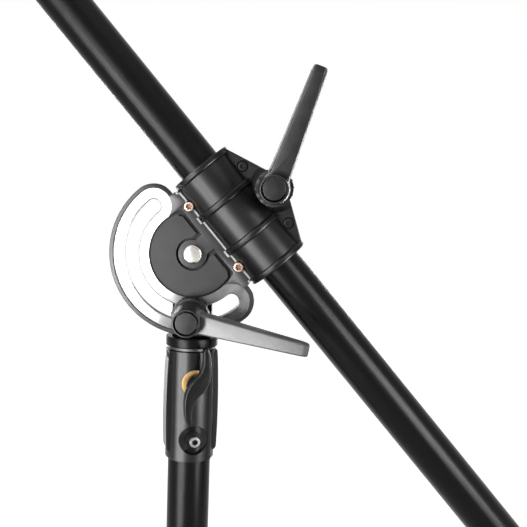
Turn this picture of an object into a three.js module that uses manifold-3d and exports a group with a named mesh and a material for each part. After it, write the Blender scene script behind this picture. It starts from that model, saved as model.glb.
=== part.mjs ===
// Overhead boom arm for a studio light. A 35 mm boom slides and spins in a two-part clamp. The clamp
// tilts about a pivot bolt on a yoke, and a half-moon sector plate with a round slot lets a locking bolt
// hold it at any angle. Two ratchet levers tighten the locking bolt and the clamp. The yoke's spigot
// turns in a receiver casting on top of a column. An extension tube slides out of the boom.
// Millimetres, Z up, Y away from the viewer. The origin is the centre of the column's lower face.

import * as THREE from 'three';
import { mergeVertices, toCreasedNormals } from 'three/addons/utils/BufferGeometryUtils.js';
import Module from 'manifold-3d';

const wasm = await Module();
wasm.setup();

// Clearances
const seatGap = 0.3; // between two faces that bear on each other
const slideGap = 0.25; // round a sliding or turning fit
const overrun = 3; // how far a cutter runs past the face that it cuts

// Angles of the pose at rest, in degrees
const boomAngle = 49; // the boom falls to the right
const columnTurn = 15; // the receiver's front faces a little to the right
const lockLeverAngle = -10;
const clampLeverAngle = 71;

// Facets round one turn
const tubeFacets = 28;
const bodyFacets = 22;
const smallFacets = 14;
const wireFacets = 8;
const plateFacets = 40; // round one turn of the sector plate's arcs
const scallopPoints = 3; // of the outline, in each scallop
const toothPoints = 2;
const knobPoints = 5;
const cornerSteps = 4;
const curveSteps = 8;
const coilSteps = 7; // round one turn of the spring

// Column
const pivotHeight = 414;
const columnRadius = 17.5;
const columnWall = 1.5;
const plugRimHeight = 4;
const plugRimProud = 1;
const plugDepth = 20;
const edgeBreak = 0.8; // small chamfer on turned edges

// Receiver casting
const receiverHeight = 90;
const receiverCoreRadius = 20;
const panelRadius = 21;
const panelHalfWidth = 15.5;
const columnSeatDepth = 38;
const ribHalfDepth = 9;
const ribTopHalfWidth = 20;
const ribBellyHalfWidth = 22.4;
const ribFootHalfWidth = 20.6;
const ribFootHeight = 8;
const ribToeHalfWidth = 17;
const ribToeHeight = 5;
const brassHoleRadius = 11;
const brassInsertProud = 1.4; // how far the insert lies below the panel
const recessRadius = 12;
const recessDepth = 2;
const recessHeight = 18;
const castingScrewRadius = 3.1;
const castingScrewHeadRadius = 4.3;
const castingScrewHeadHeight = 5;
const castingScrewSocketWidth = 4.3;
const castingScrewSocketDepth = 2.2;
const castingWasherRadius = 6.25;
const castingWasherHeight = 1.6;

// Wing screw
const wingShankRadius = 4.9;
const wingHubRadius = 8.4;
const wingHubLength = 8;
const wingThickness = 6;
const wingReach = 31;

// Yoke
const tongueHalfWidth = 16;
const tongueThickness = 12;
const footDepth = 6;
const footClearance = 1; // between the foot's top and the locking bolt's head
const flangeHeight = 8;
const flangeRadius = 21.3;
const flangeBreak = 1.2;
const thrustWasherRadius = 18.5;
const thrustWasherHeight = 2.4;
const spigotRadius = 14.3;
const spigotLength = 46;
const spigotWaistDepth = 2;
const spigotWaistDrop = 36; // from the flange's top down to the wing screw
const spigotWaistHalfHeight = 8;
const spigotWaistSlope = 2.5;

// Pivot
const pivotBoltRadius = 4;
const pivotFlangeRadius = 7.5;
const pivotFlangeHeight = 1.8;
const pivotHexWidth = 11.3;
const pivotHexHeight = 4;
const pivotNutWidth = 13;
const pivotNutHeight = 7;
const pivotWasherRadius = 9;
const washerHeight = 1.6;
const bushWall = 2.6;
const frictionWasherInset = 0.5; // inside the tongue's round top
const frictionWasherHeight = 1;

// Locking bolt and clamp bolt
const lockRadius = 49; // from the pivot to the locking bolt, and the radius of the slot
const boltRadius = 4.9;
const boltHexWidth = 16;
const boltHexHeight = 6.5;
const lockWasherRadius = 13;
const lockWasherHeight = 2;

// Sector plate
const rimWidth = 3.6; // of the raised rim, outside the machined band
const rimClearance = 1; // between the rim and the yoke's flange
const sectorBase = 5; // thickness under the raised faces
const sectorRelief = 1.3; // height of the rim, the pad and the land
const slotClearance = 0.9; // between the slot and the locking bolt
const bandClearance = 1.4; // between the band's edge and the locking washer
const padMargin = 1; // between the band and the raised pad
const padInnerRadius = 13.4;
const padSetBack = 4.5; // from the root's step to the pad's straight edge
const padCorner = 4;
const padGroove = 3;
const bossRadius = 11.6;
const neckHalfWidth = 7.5;
const rootThickness = 3;
const rootClearance = 1.2; // between the root's step and the tongue
const plateScrewSpacing = 31;
const plateScrewSetBack = 4.8; // from the root's step to the plate screws
const plateScrewRadius = 2.5;
const plateScrewHeadRadius = 4.6;
const plateScrewHeadHeight = 3;
const plateScrewRimHeight = 1; // the straight part of the head's side
const plateScrewTopRadius = 3.7;
const plateScrewSocketRadius = 2.2;
const plateScrewSocketDepth = 1.8;
const lugRadius = 4.7;
const lobeCornerAngle = 99; // where each lobe's round end leaves off

// Clamp
const shellHalfLength = 50;
const shellWall = 4;
const shellRibHeight = 2;
const shellRibSlope = 0.8;
const shellRibWidth = 5;
const shellRibInset = 17; // the inner ribs' distance from the middle
const sleeveWall = 2;
const sleeveLipLength = 1.8;
const sleeveSlit = 2;
const splitHalfGap = 0.6;
const frontFlangeThickness = 2;
const rearFlangeThickness = 5;
const flangeHalfLength = 46;
const earThickness = 6.9;
const earRoot = 18; // this and the next three are distances from the boom's axis
const earShoulder = 25;
const earSlopeTop = 39;
const earPeak = 43;
const earHalfPeak = 16;
const earCornerInset = 1.5;
const earScrewSpacing = 28.8;
const earScrewClearance = 3; // between the ear screws' axes and the barrel
const earScrewRadius = 2.4;
const earScrewHeadRadius = 3.8;
const earScrewHeadHeight = 3;
const earScrewSocketWidth = 3.6;
const earScrewSocketDepth = 1.8;
const earRecessRadius = 4.2;
const clampNutTuck = 3.3; // how far the clamp nut reaches over the barrel
const bossBaseRadius = 20;
const bossTopRadius = 14.5;
const bossRise = 4.5; // above the ear's face
const clampWasherRadius = 12;

// Ratchet levers
const nutRadius = 15.3;
const nutScallop = 1.1;
const nutScallops = 16;
const nutHeight = 10;
const toothTipRadius = 7.6;
const toothRootRadius = 6.7;
const toothCount = 12;
const toothLength = 4.2;
const pilotRadius = 5.8;
const stemLength = 10.5; // of the nut's pilot
const stemThreadDepth = 12; // the bolt's thread, from the nut's base
const hubBaseRadius = 12.8;
const hubWall = 1.6;
const hubFloor = 7.8; // between the teeth and the spring
const springLength = 10;
const springRadius = 8.2;
const springWire = 0.7;
const springTurns = 4;
const springClearance = 0.5; // between the spring and the hub's bore
const capClearance = 0.6; // between the cap and the hub's bore
const capHeight = 2.6;
const capCrown = 0.5;
const capGap = 2.6; // between the cap and the retaining screw
const retainerRadius = 2.4;
const retainerClearance = 0.4; // between the screw's flange and the hub's bore
const retainerFlangeHeight = 1.4;
const retainerHeadRadius = 4.6;
const retainerHeadHeight = 2.4;
const armLength = 95;
const armRootWidth = 18.5;
const armTipWidth = 12;
const armDraft = 1.6; // how much narrower the arm's front face is, on each side
const armRootThickness = 12;
const armTipThickness = 7;
const armRootBack = 21; // of the arm's back at the hub, over the nut's base
const armTipBack = 42;
const armStart = 5;
const armCorner = 1.2;

// Boom
const boomRadius = 17.5;
const boomWall = 1.5;
const boomRear = 400; // from the clamp's middle to the rear end
const boomFront = 560;
const capRimHeight = 5;
const capRimProud = 1.1;
const capDepth = 22;
const eyeRadius = 13;
const eyeWire = 4;
const eyeShankInside = 32;
const eyeNutWidth = 13;
const eyeNutHeight = 6.5;

// Extension
const extensionClearance = 1; // between the extension and the boom's bore
const extensionWall = 1.5;
const extensionProud = 80; // how far it stands out of the boom tube when pushed in
const extensionStop = 160; // between its inner end and the boom's rear end
const collarWall = 4.5;
const collarGrip = 14; // over the boom tube
const collarNose = 32;
const knobOffset = 17; // from the boom tube's end
const knobBossRadius = 9;
const knobBossRise = 5; // above the collar
const knobScrewRadius = 2.9;
const knobRadius = 13;
const knobScallop = 2.2;
const knobScallops = 6;
const knobHeight = 12;
const bushLength = 13;
const spigotEndRadius = 8;
const spigotEndLength = 45;
const spigotEndWaist = 6.2;
const spigotEndWaistStart = 12;
const spigotEndWaistEnd = 30;
const spigotRimHeight = 4;
const spigotRimProud = 0.6;
const spigotPlugDepth = 20;

// Sizes that follow
const tongueFace = tongueThickness / 2;
const bandHalfWidth = lockWasherRadius + bandClearance;
const slotHalfWidth = boltRadius + slotClearance;
const lobeRadius = bandHalfWidth + rimWidth;
const sectorRadius = lockRadius + lobeRadius;
const padRadius = lockRadius - bandHalfWidth - padMargin;
const flangeDrop = sectorRadius + rimClearance; // from the pivot to the flange's top
const footHeight = flangeDrop - lockRadius - boltHexWidth / 2 - footClearance;
const wingDrop = flangeDrop + spigotWaistDrop;
const spigotWaistRadius = spigotRadius - spigotWaistDepth;
const receiverTop = pivotHeight - flangeDrop - flangeHeight - thrustWasherHeight - 2 * seatGap;
const receiverBottom = receiverTop - receiverHeight;
const columnTop = receiverBottom + columnSeatDepth - seatGap;
const plateBack = tongueFace + 2 * seatGap + frictionWasherHeight;
const plateFloor = plateBack + sectorBase;
const plateFace = plateFloor + sectorRelief;
const sleeveInner = boomRadius + slideGap;
const sleeveOuter = sleeveInner + sleeveWall;
const shellBore = sleeveOuter + slideGap;
const shellRadius = shellBore + shellWall;
const shellRibRadius = shellRadius + shellRibHeight;
const rootStep = tongueHalfWidth + rootClearance; // where the plate's back steps up to its root
const padEdge = rootStep - padSetBack;
const plateScrewOffset = rootStep + plateScrewSetBack;
const boomOffset = plateScrewOffset + shellRibRadius; // from the pivot to the boom's axis
const frontFlangeBack = plateFace - rootThickness - seatGap - frontFlangeThickness;
const boomForward = frontFlangeBack - splitHalfGap; // from the yoke's middle to the boom's axis
const earScrewReach = shellRadius + earScrewClearance; // from the boom's axis
const clampBoltReach = shellRadius + nutRadius - clampNutTuck;
const clampBoltOffset = boomOffset + clampBoltReach;
const bossTop = boomForward + splitHalfGap + earThickness + bossRise;
const lockNutBase = plateFloor + lockWasherHeight + 2 * seatGap;
const clampNutBase = bossTop + lockWasherHeight + 2 * seatGap;
const springShoulder = nutHeight + toothLength + hubFloor; // heights over the nut's base
const springSeat = springShoulder + springLength;
const retainerTop = springSeat + retainerFlangeHeight + retainerHeadHeight;
const hubHeight = retainerTop + capGap + capHeight;
const hubBoreRadius = springRadius + springWire + springClearance;
const hubTopRadius = hubBoreRadius + hubWall;
const capRadius = hubBoreRadius - capClearance;
const retainerFlangeRadius = hubBoreRadius - retainerClearance;
const boomInner = boomRadius - boomWall;
const extensionRadius = boomInner - extensionClearance;
const extensionInner = extensionRadius - extensionWall;
const collarRadius = boomRadius + collarWall;
const knobBossTop = collarRadius + knobBossRise;

// Materials
const finish = (color, roughness, metalness) =>
  new THREE.MeshStandardMaterial({ color, roughness, metalness });
const blackTube = () => finish(0x141415, 0.32, 0.6);
const blackCasting = () => finish(0x101011, 0.38, 0.4);
const darkPlate = () => finish(0x35353a, 0.5, 0.4);
const leverBlack = () => finish(0x3c3c3e, 0.55, 0.2);
const brightSteel = () => finish(0xc9c6c2, 0.3, 1);
const zincSteel = () => finish(0xb89270, 0.35, 1);
const blackSteel = () => finish(0x1b1b1c, 0.35, 0.8);
const brass = () => finish(0xc99b52, 0.3, 1);
const nylon = () => finish(0xd9d6cc, 0.6, 0);
const darkNylon = () => finish(0x222223, 0.6, 0);
const plastic = () => finish(0x18181a, 0.5, 0);

// Turns any geometry into a closed indexed one with only its positions, its faces pointing out.
function closed(geometry) {
  const bare = geometry.clone();
  bare.deleteAttribute('normal');
  bare.deleteAttribute('uv');
  const merged = mergeVertices(bare);
  const corners = merged.index.array;
  const kept = [];
  for (let i = 0; i < corners.length; i += 3) {
    const [a, b, c] = [corners[i], corners[i + 1], corners[i + 2]];
    if (a !== b && b !== c && c !== a) kept.push(a, b, c);
  }
  merged.setIndex(kept);
  return facingOut(merged);
}

function facingOut(geometry) {
  const position = geometry.attributes.position;
  const index = geometry.index.array;
  const [a, b, c] = [new THREE.Vector3(), new THREE.Vector3(), new THREE.Vector3()];
  let volume = 0;
  for (let i = 0; i < index.length; i += 3) {
    a.fromBufferAttribute(position, index[i]);
    b.fromBufferAttribute(position, index[i + 1]);
    c.fromBufferAttribute(position, index[i + 2]);
    volume += a.dot(b.cross(c));
  }
  if (volume < 0) {
    const flipped = [];
    for (let i = 0; i < index.length; i += 3) flipped.push(index[i], index[i + 2], index[i + 1]);
    geometry.setIndex(flipped);
  }
  return geometry;
}

function toManifold(geometry) {
  return new wasm.Manifold(new wasm.Mesh({
    numProp: 3,
    vertProperties: new Float32Array(geometry.attributes.position.array),
    triVerts: new Uint32Array(geometry.index.array),
  }));
}

function fromManifold(manifold) {
  const mesh = manifold.getMesh();
  const geometry = new THREE.BufferGeometry();
  geometry.setAttribute('position', new THREE.BufferAttribute(new Float32Array(mesh.vertProperties), 3));
  geometry.setIndex(new THREE.BufferAttribute(new Uint32Array(mesh.triVerts), 1));
  return geometry;
}

const join = (first, ...others) =>
  fromManifold(others.reduce((sum, next) => sum.add(toManifold(next)), toManifold(first)));
const cut = (first, ...others) =>
  fromManifold(others.reduce((rest, next) => rest.subtract(toManifold(next)), toManifold(first)));
const common = (first, second) => fromManifold(toManifold(first).intersect(toManifold(second)));

const moved = (geometry, x, y, z) => geometry.clone().translate(x, y, z);
const alongX = (geometry) => geometry.clone().rotateY(Math.PI / 2);
const alongY = (geometry) => geometry.clone().rotateX(-Math.PI / 2);
const radians = THREE.MathUtils.degToRad;

// A solid of revolution about Z. Each point of the profile is a radius and a height.
function revolve(profile, facets) {
  const points = [...profile, profile[0]].map(([radius, height]) => new THREE.Vector2(radius, height));
  return closed(new THREE.LatheGeometry(points, facets).rotateX(Math.PI / 2));
}

const rod = (radius, from, to, facets) => revolve([[0, from], [radius, from], [radius, to], [0, to]], facets);
const ring = (outer, inner, from, to, facets) =>
  revolve([[inner, from], [outer, from], [outer, to], [inner, to]], facets);

function chamferedRod(radius, from, to, chamfer, facets) {
  return revolve([
    [0, from], [radius - chamfer, from], [radius, from + chamfer],
    [radius, to - chamfer], [radius - chamfer, to], [0, to],
  ], facets);
}

const hexagon = (width, from, to) => rod(width / Math.sqrt(3), from, to, 6);

function box(x0, x1, y0, y1, z0, z1) {
  const block = new THREE.BoxGeometry(x1 - x0, y1 - y0, z1 - z0);
  return closed(block.translate((x0 + x1) / 2, (y0 + y1) / 2, (z0 + z1) / 2));
}

function prism(points, from, to) {
  const shape = new THREE.Shape(points.map(([x, y]) => new THREE.Vector2(x, y)));
  const solid = new THREE.ExtrudeGeometry(shape, { depth: to - from, bevelEnabled: false });
  return closed(solid.translate(0, 0, from));
}

// Points along an arc between two angles in radians, both ends included
function arc(x, y, radius, from, to, facets = plateFacets) {
  const steps = Math.max(2, Math.ceil((Math.abs(to - from) * facets) / (2 * Math.PI)));
  return Array.from({ length: steps + 1 }, (_, i) => {
    const angle = from + ((to - from) * i) / steps;
    return [x + radius * Math.cos(angle), y + radius * Math.sin(angle)];
  });
}

// Points along a curve that leaves the first point towards the middle one and ends at the last
function bend(first, middle, last, steps = curveSteps) {
  const curve = new THREE.QuadraticBezierCurve(
    new THREE.Vector2(...first), new THREE.Vector2(...middle), new THREE.Vector2(...last),
  );
  return curve.getPoints(steps).map((point) => [point.x, point.y]);
}

// A round outline whose radius falls by the given depth between its lobes.
function lobed(radius, depth, count, pointsPerLobe) {
  const points = [];
  const total = count * pointsPerLobe;
  for (let i = 0; i < total; i += 1) {
    const angle = (2 * Math.PI * i) / total;
    const here = radius - (depth * (1 - Math.cos(count * angle))) / 2;
    points.push([here * Math.cos(angle), here * Math.sin(angle)]);
  }
  return points;
}

// Skins a row of sections that have the same number of points, and closes both ends.
function loft(sections) {
  const count = sections[0].length;
  const last = (sections.length - 1) * count;
  const geometry = new THREE.BufferGeometry();
  const positions = sections.flat(2);
  geometry.setAttribute('position', new THREE.Float32BufferAttribute(positions, 3));
  const index = [];
  for (let s = 0; s < last; s += count) {
    for (let i = 0; i < count; i += 1) {
      const next = (i + 1) % count;
      index.push(s + i, s + next, s + count + next, s + i, s + count + next, s + count + i);
    }
  }
  for (let i = 1; i + 1 < count; i += 1) {
    index.push(0, i + 1, i, last, last + i, last + i + 1);
  }
  geometry.setIndex(index);
  return facingOut(geometry);
}

// Groups: the column stands upright, the head's x and y lie in the picture with z towards the viewer,
// and the clamp's x runs down the boom with y from the pivot to the boom.
const arm = new THREE.Group();
const column = new THREE.Group();
column.rotation.z = radians(columnTurn);
const receiverFront = new THREE.Group();
receiverFront.rotation.x = Math.PI / 2;
column.add(receiverFront);
const head = new THREE.Group();
head.position.z = pivotHeight;
head.rotation.x = Math.PI / 2;
const clamp = new THREE.Group();
clamp.rotation.z = radians(-boomAngle);
const boom = new THREE.Group();
boom.position.set(0, boomOffset, boomForward);
clamp.add(boom);
head.add(clamp);
arm.add(column, head);

const creaseAngle = radians(30);

function piece(parent, name, geometry, material) {
  const mesh = new THREE.Mesh(toCreasedNormals(geometry, creaseAngle), material);
  mesh.name = name;
  parent.add(mesh);
  return mesh;
}

// Column tube and its end plug
function columnPlug() {
  const rim = columnRadius + plugRimProud;
  const inside = columnRadius - columnWall - slideGap;
  return revolve([
    [0, 0], [rim - edgeBreak, 0], [rim, edgeBreak], [rim, plugRimHeight],
    [inside, plugRimHeight], [inside, plugRimHeight + plugDepth], [0, plugRimHeight + plugDepth],
  ], bodyFacets);
}

function columnTube() {
  const tube = ring(columnRadius, columnRadius - columnWall, plugRimHeight + seatGap, columnTop, tubeFacets);
  const hole = rod(castingScrewRadius + seatGap, 0, columnRadius + overrun, smallFacets);
  return cut(tube, moved(hole.rotateX(Math.PI / 2), 0, 0, receiverBottom + recessHeight));
}

// Receiver casting: a curved front and back panel between two barrel-shaped side ribs
function panelOutline() {
  const half = Math.asin(panelHalfWidth / panelRadius);
  return [
    ...arc(0, 0, panelRadius, -Math.PI / 2 - half, -Math.PI / 2 + half),
    ...arc(0, 0, panelRadius, Math.PI / 2 - half, Math.PI / 2 + half),
  ];
}

function ribOutline() {
  const edge = (side) => bend(
    [side * ribFootHalfWidth, ribFootHeight], [side * ribBellyHalfWidth, receiverHeight / 2],
    [side * ribTopHalfWidth, receiverHeight],
  );
  const toe = [[-ribToeHalfWidth, ribToeHeight], [ribToeHalfWidth, ribToeHeight]];
  return [...toe, ...edge(1), ...edge(-1).reverse()];
}

const wingHeight = pivotHeight - wingDrop - receiverBottom; // over the casting's bottom

function receiverCasting() {
  const core = rod(receiverCoreRadius, 0, receiverHeight, tubeFacets);
  const panel = prism(panelOutline(), 0, receiverHeight);
  const ribs = prism(ribOutline(), -ribHalfDepth, ribHalfDepth).rotateX(Math.PI / 2);
  const tubeBore = rod(columnRadius + slideGap, -overrun, columnSeatDepth, tubeFacets);
  const spigotBore = rod(spigotRadius + slideGap, 0, receiverHeight + overrun, tubeFacets);
  const outward = (radius, from) =>
    rod(radius, from, panelRadius + overrun, smallFacets).rotateX(Math.PI / 2);
  const brassHole = moved(outward(brassHoleRadius, 0), 0, 0, wingHeight);
  const recess = moved(outward(recessRadius, panelRadius - recessDepth), 0, 0, recessHeight);
  const screwHole = moved(outward(castingScrewRadius + seatGap, 0), 0, 0, recessHeight);
  const body = join(core, panel, ribs);
  return moved(cut(body, tubeBore, spigotBore, brassHole, recess, screwHole), 0, 0, receiverBottom);
}

// Pieces on the receiver's front, with y up and z towards the viewer
function brassInsert() {
  const from = spigotRadius + 2 * seatGap;
  const to = panelRadius - brassInsertProud;
  return ring(brassHoleRadius - seatGap, wingShankRadius + seatGap, from, to, smallFacets);
}

// One edge of the wing's S, from its upper tip to its lower tip, as shares of its reach. The other edge
// is the same one turned half round.
const wingEdgeShares = [
  [0.24, 0.99], [0.32, 0.81], [0.335, 0.55], [0.3, 0.29], [0.21, 0.05],
  [0.13, -0.16], [-0.02, -0.35], [-0.1, -0.55], [-0.12, -0.74], [-0.11, -0.92], [-0.17, -1],
];

function wingOutline() {
  const edge = wingEdgeShares.map(([x, y]) => new THREE.Vector2(x * wingReach, y * wingReach));
  const curve = new THREE.SplineCurve(edge).getPoints(edge.length + edge.length / 2);
  return [...curve.map((point) => [point.x, point.y]), ...curve.map((point) => [-point.x, -point.y])];
}

function wingScrew() {
  const tip = spigotWaistRadius + seatGap;
  const hubBack = panelRadius + seatGap;
  const hubFront = hubBack + wingHubLength;
  const shank = rod(wingShankRadius, tip, hubBack + edgeBreak, smallFacets);
  const hub = chamferedRod(wingHubRadius, hubBack, hubFront, edgeBreak, smallFacets);
  const wing = prism(wingOutline(), hubFront - edgeBreak, hubFront - edgeBreak + wingThickness);
  return join(shank, hub, wing);
}

const recessFloor = panelRadius - recessDepth;

function castingWasher() {
  const from = recessFloor + seatGap;
  const inner = castingScrewRadius + seatGap;
  return ring(castingWasherRadius, inner, from, from + castingWasherHeight, smallFacets);
}

function castingScrew() {
  const seat = recessFloor + castingWasherHeight + 2 * seatGap;
  const top = seat + castingScrewHeadHeight;
  const head = chamferedRod(castingScrewHeadRadius, seat, top, edgeBreak / 2, smallFacets);
  const shank = rod(castingScrewRadius, columnRadius - columnWall - overrun, seat + edgeBreak, smallFacets);
  const socket = hexagon(castingScrewSocketWidth, top - castingScrewSocketDepth, top + overrun);
  return cut(join(head, shank), socket);
}

// Head yoke: a flat tongue with a round top, on a round flange with a waisted spigot below
function headYoke() {
  const half = tongueFace;
  const flangeTop = -flangeDrop;
  const flangeBottom = flangeTop - flangeHeight;
  const spigotBottom = flangeBottom - spigotLength;
  const footing = flangeTop - flangeBreak;
  const tongue = prism([
    [-tongueHalfWidth, footing], [tongueHalfWidth, footing], ...arc(0, 0, tongueHalfWidth, 0, Math.PI),
  ], -half, half);
  const foot = prism([
    [-half - footDepth, footing], [0, footing], [0, flangeTop + footHeight], [-half, flangeTop + footHeight],
  ], -tongueHalfWidth, tongueHalfWidth).rotateY(-Math.PI / 2);
  const waistTop = -wingDrop + spigotWaistHalfHeight;
  const waistBottom = -wingDrop - spigotWaistHalfHeight;
  const turned = alongY(revolve([
    [0, spigotBottom], [spigotRadius - flangeBreak, spigotBottom], [spigotRadius, spigotBottom + flangeBreak],
    [spigotRadius, waistBottom], [spigotWaistRadius, waistBottom + spigotWaistSlope],
    [spigotWaistRadius, waistTop - spigotWaistSlope], [spigotRadius, waistTop],
    [spigotRadius, flangeBottom], [flangeRadius - flangeBreak, flangeBottom],
    [flangeRadius, flangeBottom + flangeBreak], [flangeRadius, flangeTop - flangeBreak],
    [flangeRadius - flangeBreak, flangeTop], [0, flangeTop],
  ], bodyFacets));
  const through = [-half - overrun, half + overrun];
  const pivotHole = rod(pivotBoltRadius + bushWall + 2 * seatGap, ...through, bodyFacets);
  const lockHole = rod(boltRadius + seatGap, ...through, smallFacets);
  return cut(join(tongue, foot, turned), pivotHole, moved(lockHole, 0, -lockRadius, 0));
}

function thrustWasher() {
  const top = -flangeDrop - flangeHeight - seatGap;
  const inner = spigotRadius + seatGap;
  return alongY(ring(thrustWasherRadius, inner, top - thrustWasherHeight, top, bodyFacets));
}

// Pivot bolt and what it carries
const pivotBush = () =>
  ring(pivotBoltRadius + bushWall + seatGap, pivotBoltRadius + seatGap, -tongueFace, tongueFace, smallFacets);

function pivotFrictionWasher() {
  const from = tongueFace + seatGap;
  const outer = tongueHalfWidth - frictionWasherInset;
  return ring(outer, pivotBoltRadius + seatGap, from, from + frictionWasherHeight, bodyFacets);
}

function lockFrictionWasher() {
  const from = tongueFace + seatGap;
  const washer = ring(lockWasherRadius, boltRadius + seatGap, from, from + frictionWasherHeight, bodyFacets);
  return moved(washer, 0, -lockRadius, 0);
}

const pivotNutSeat = -tongueFace - washerHeight - 2 * seatGap;

function pivotBolt() {
  const seat = plateFace + seatGap;
  const flangeFront = seat + pivotFlangeHeight;
  const flange = chamferedRod(pivotFlangeRadius, seat, flangeFront, edgeBreak, bodyFacets);
  const hexFront = flangeFront + pivotHexHeight;
  const hex = hexagon(pivotHexWidth, seat, hexFront);
  const cornerRadius = pivotHexWidth / Math.sqrt(3);
  const dome = revolve([
    [0, seat], [cornerRadius, seat], [cornerRadius, hexFront - edgeBreak],
    [pivotHexWidth / 2 - edgeBreak, hexFront], [0, hexFront],
  ], bodyFacets);
  const tip = pivotNutSeat - pivotNutHeight - edgeBreak;
  const shank = rod(pivotBoltRadius, tip, seat + edgeBreak, smallFacets);
  return join(flange, common(hex, dome), shank);
}

function pivotWasher() {
  const front = -tongueFace - seatGap;
  return ring(pivotWasherRadius, pivotBoltRadius + seatGap, front - washerHeight, front, smallFacets);
}

function pivotNut() {
  const nut = hexagon(pivotNutWidth, pivotNutSeat - pivotNutHeight, pivotNutSeat);
  const through = [pivotNutSeat - pivotNutHeight - overrun, pivotNutSeat + overrun];
  return cut(nut, rod(pivotBoltRadius + slideGap, ...through, smallFacets));
}

// A hex bolt whose head bears on a face from behind, and whose shank runs forward to its tip
function hexBolt(seat, tip) {
  const head = hexagon(boltHexWidth, seat - boltHexHeight, seat);
  const face = seat - edgeBreak;
  const shank = revolve([
    [0, face], [boltRadius, face], [boltRadius, tip - edgeBreak], [boltRadius - edgeBreak, tip], [0, tip],
  ], smallFacets);
  return join(head, shank);
}

function lockBolt() {
  const tip = lockNutBase + stemThreadDepth - seatGap;
  return moved(hexBolt(-tongueFace - seatGap, tip), 0, -lockRadius, 0);
}

function lockWasher() {
  const from = plateFloor + seatGap;
  const washer = ring(lockWasherRadius, boltRadius + seatGap, from, from + lockWasherHeight, bodyFacets);
  return moved(washer, 0, -lockRadius, 0);
}

// Sector plate: the outline is a half disc with a round lobe at each end of the slot
const shellEdge = boomOffset - shellRadius;

function sectorOutline() {
  const corner = radians(lobeCornerAngle);
  return [
    ...arc(lockRadius, 0, lobeRadius, corner, 0),
    ...arc(0, 0, sectorRadius, 0, -Math.PI),
    ...arc(-lockRadius, 0, lobeRadius, Math.PI, Math.PI - corner),
    [-lockRadius - lobeRadius * Math.cos(corner), shellEdge],
    [lockRadius + lobeRadius * Math.cos(corner), shellEdge],
  ];
}

// The slot's path, widened by half a width: a half ring with round ends
function slotPath(halfWidth) {
  return [
    ...arc(0, 0, lockRadius + halfWidth, 0, -Math.PI),
    ...arc(-lockRadius, 0, halfWidth, Math.PI, 0, bodyFacets),
    ...arc(0, 0, lockRadius - halfWidth, -Math.PI, 0),
    ...arc(lockRadius, 0, halfWidth, Math.PI, 0, bodyFacets),
  ];
}

// The raised C-shaped pad round the pivot, with its straight edge towards the boom
function padOutline() {
  const reach = Math.sqrt(padRadius ** 2 - padEdge ** 2);
  const low = Math.asin((padEdge - padCorner) / padRadius);
  const side = padRadius * Math.cos(low);
  return [
    ...arc(0, 0, padRadius, Math.PI - low, 2 * Math.PI + low),
    ...bend([side, padEdge - padCorner], [reach, padEdge], [reach - padCorner, padEdge], cornerSteps),
    ...bend([padCorner - reach, padEdge], [-reach, padEdge], [-side, padEdge - padCorner], cornerSteps),
  ];
}

function sectorPlate() {
  const through = [plateBack - overrun, plateFace + overrun];
  const body = prism(sectorOutline(), plateBack, plateFace);
  const slot = prism(slotPath(slotHalfWidth), ...through);
  const band = prism(slotPath(bandHalfWidth), plateFloor, plateFace + overrun);
  const reliefDepth = [plateFloor, plateFace + overrun];
  const lowFace = common(
    rod(padRadius + padGroove, ...reliefDepth, tubeFacets),
    box(-sectorRadius, sectorRadius, -sectorRadius, padEdge + padGroove, ...reliefDepth),
  );
  const pad = cut(
    prism(padOutline(), ...reliefDepth),
    rod(padInnerRadius, ...through, bodyFacets),
    box(-neckHalfWidth - padGroove, neckHalfWidth + padGroove, 0, padEdge + overrun, ...through),
  );
  const boss = join(
    rod(bossRadius, ...reliefDepth, bodyFacets),
    box(-neckHalfWidth, neckHalfWidth, 0, shellEdge, ...reliefDepth),
  );
  const groove = cut(lowFace, pad, boss);
  const rootBack = box(
    -sectorRadius, sectorRadius, rootStep, boomOffset, plateBack - overrun, plateFace - rootThickness,
  );
  const barrel = moved(shellBarrel(seatGap), 0, boomOffset, boomForward);
  const plate = cut(body, slot, band, groove, rootBack, barrel);
  const screwPlaces = [-plateScrewSpacing, plateScrewSpacing];
  const screwAt = (solid) => screwPlaces.map((x) => moved(solid, x, plateScrewOffset, 0));
  const lugs = screwAt(rod(lugRadius, plateFace - rootThickness, plateFace, smallFacets));
  const screwHoles = screwAt(rod(plateScrewRadius + slideGap, ...through, smallFacets));
  const pivotHole = rod(pivotBoltRadius + seatGap, ...through, smallFacets);
  return cut(join(plate, ...lugs), ...screwHoles, pivotHole);
}

function plateScrew(side) {
  const seat = plateFace + seatGap;
  const top = seat + plateScrewHeadHeight;
  const head = revolve([
    [0, seat], [plateScrewHeadRadius, seat], [plateScrewHeadRadius, seat + plateScrewRimHeight],
    [plateScrewTopRadius, top], [0, top],
  ], smallFacets);
  const tip = boomForward - splitHalfGap - rearFlangeThickness;
  const shank = rod(plateScrewRadius, tip + edgeBreak, seat + edgeBreak, smallFacets);
  const socket = hexagon(2 * plateScrewSocketRadius, top - plateScrewSocketDepth, top + overrun);
  return moved(cut(join(head, shank), socket), side * plateScrewSpacing, plateScrewOffset, 0);
}

// Clamp shells: half barrels with ring ribs, a flange under the sector plate and an ear opposite
const shellRibs = [
  -shellHalfLength + shellRibWidth / 2, -shellRibInset, shellRibInset, shellHalfLength - shellRibWidth / 2,
];

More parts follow.
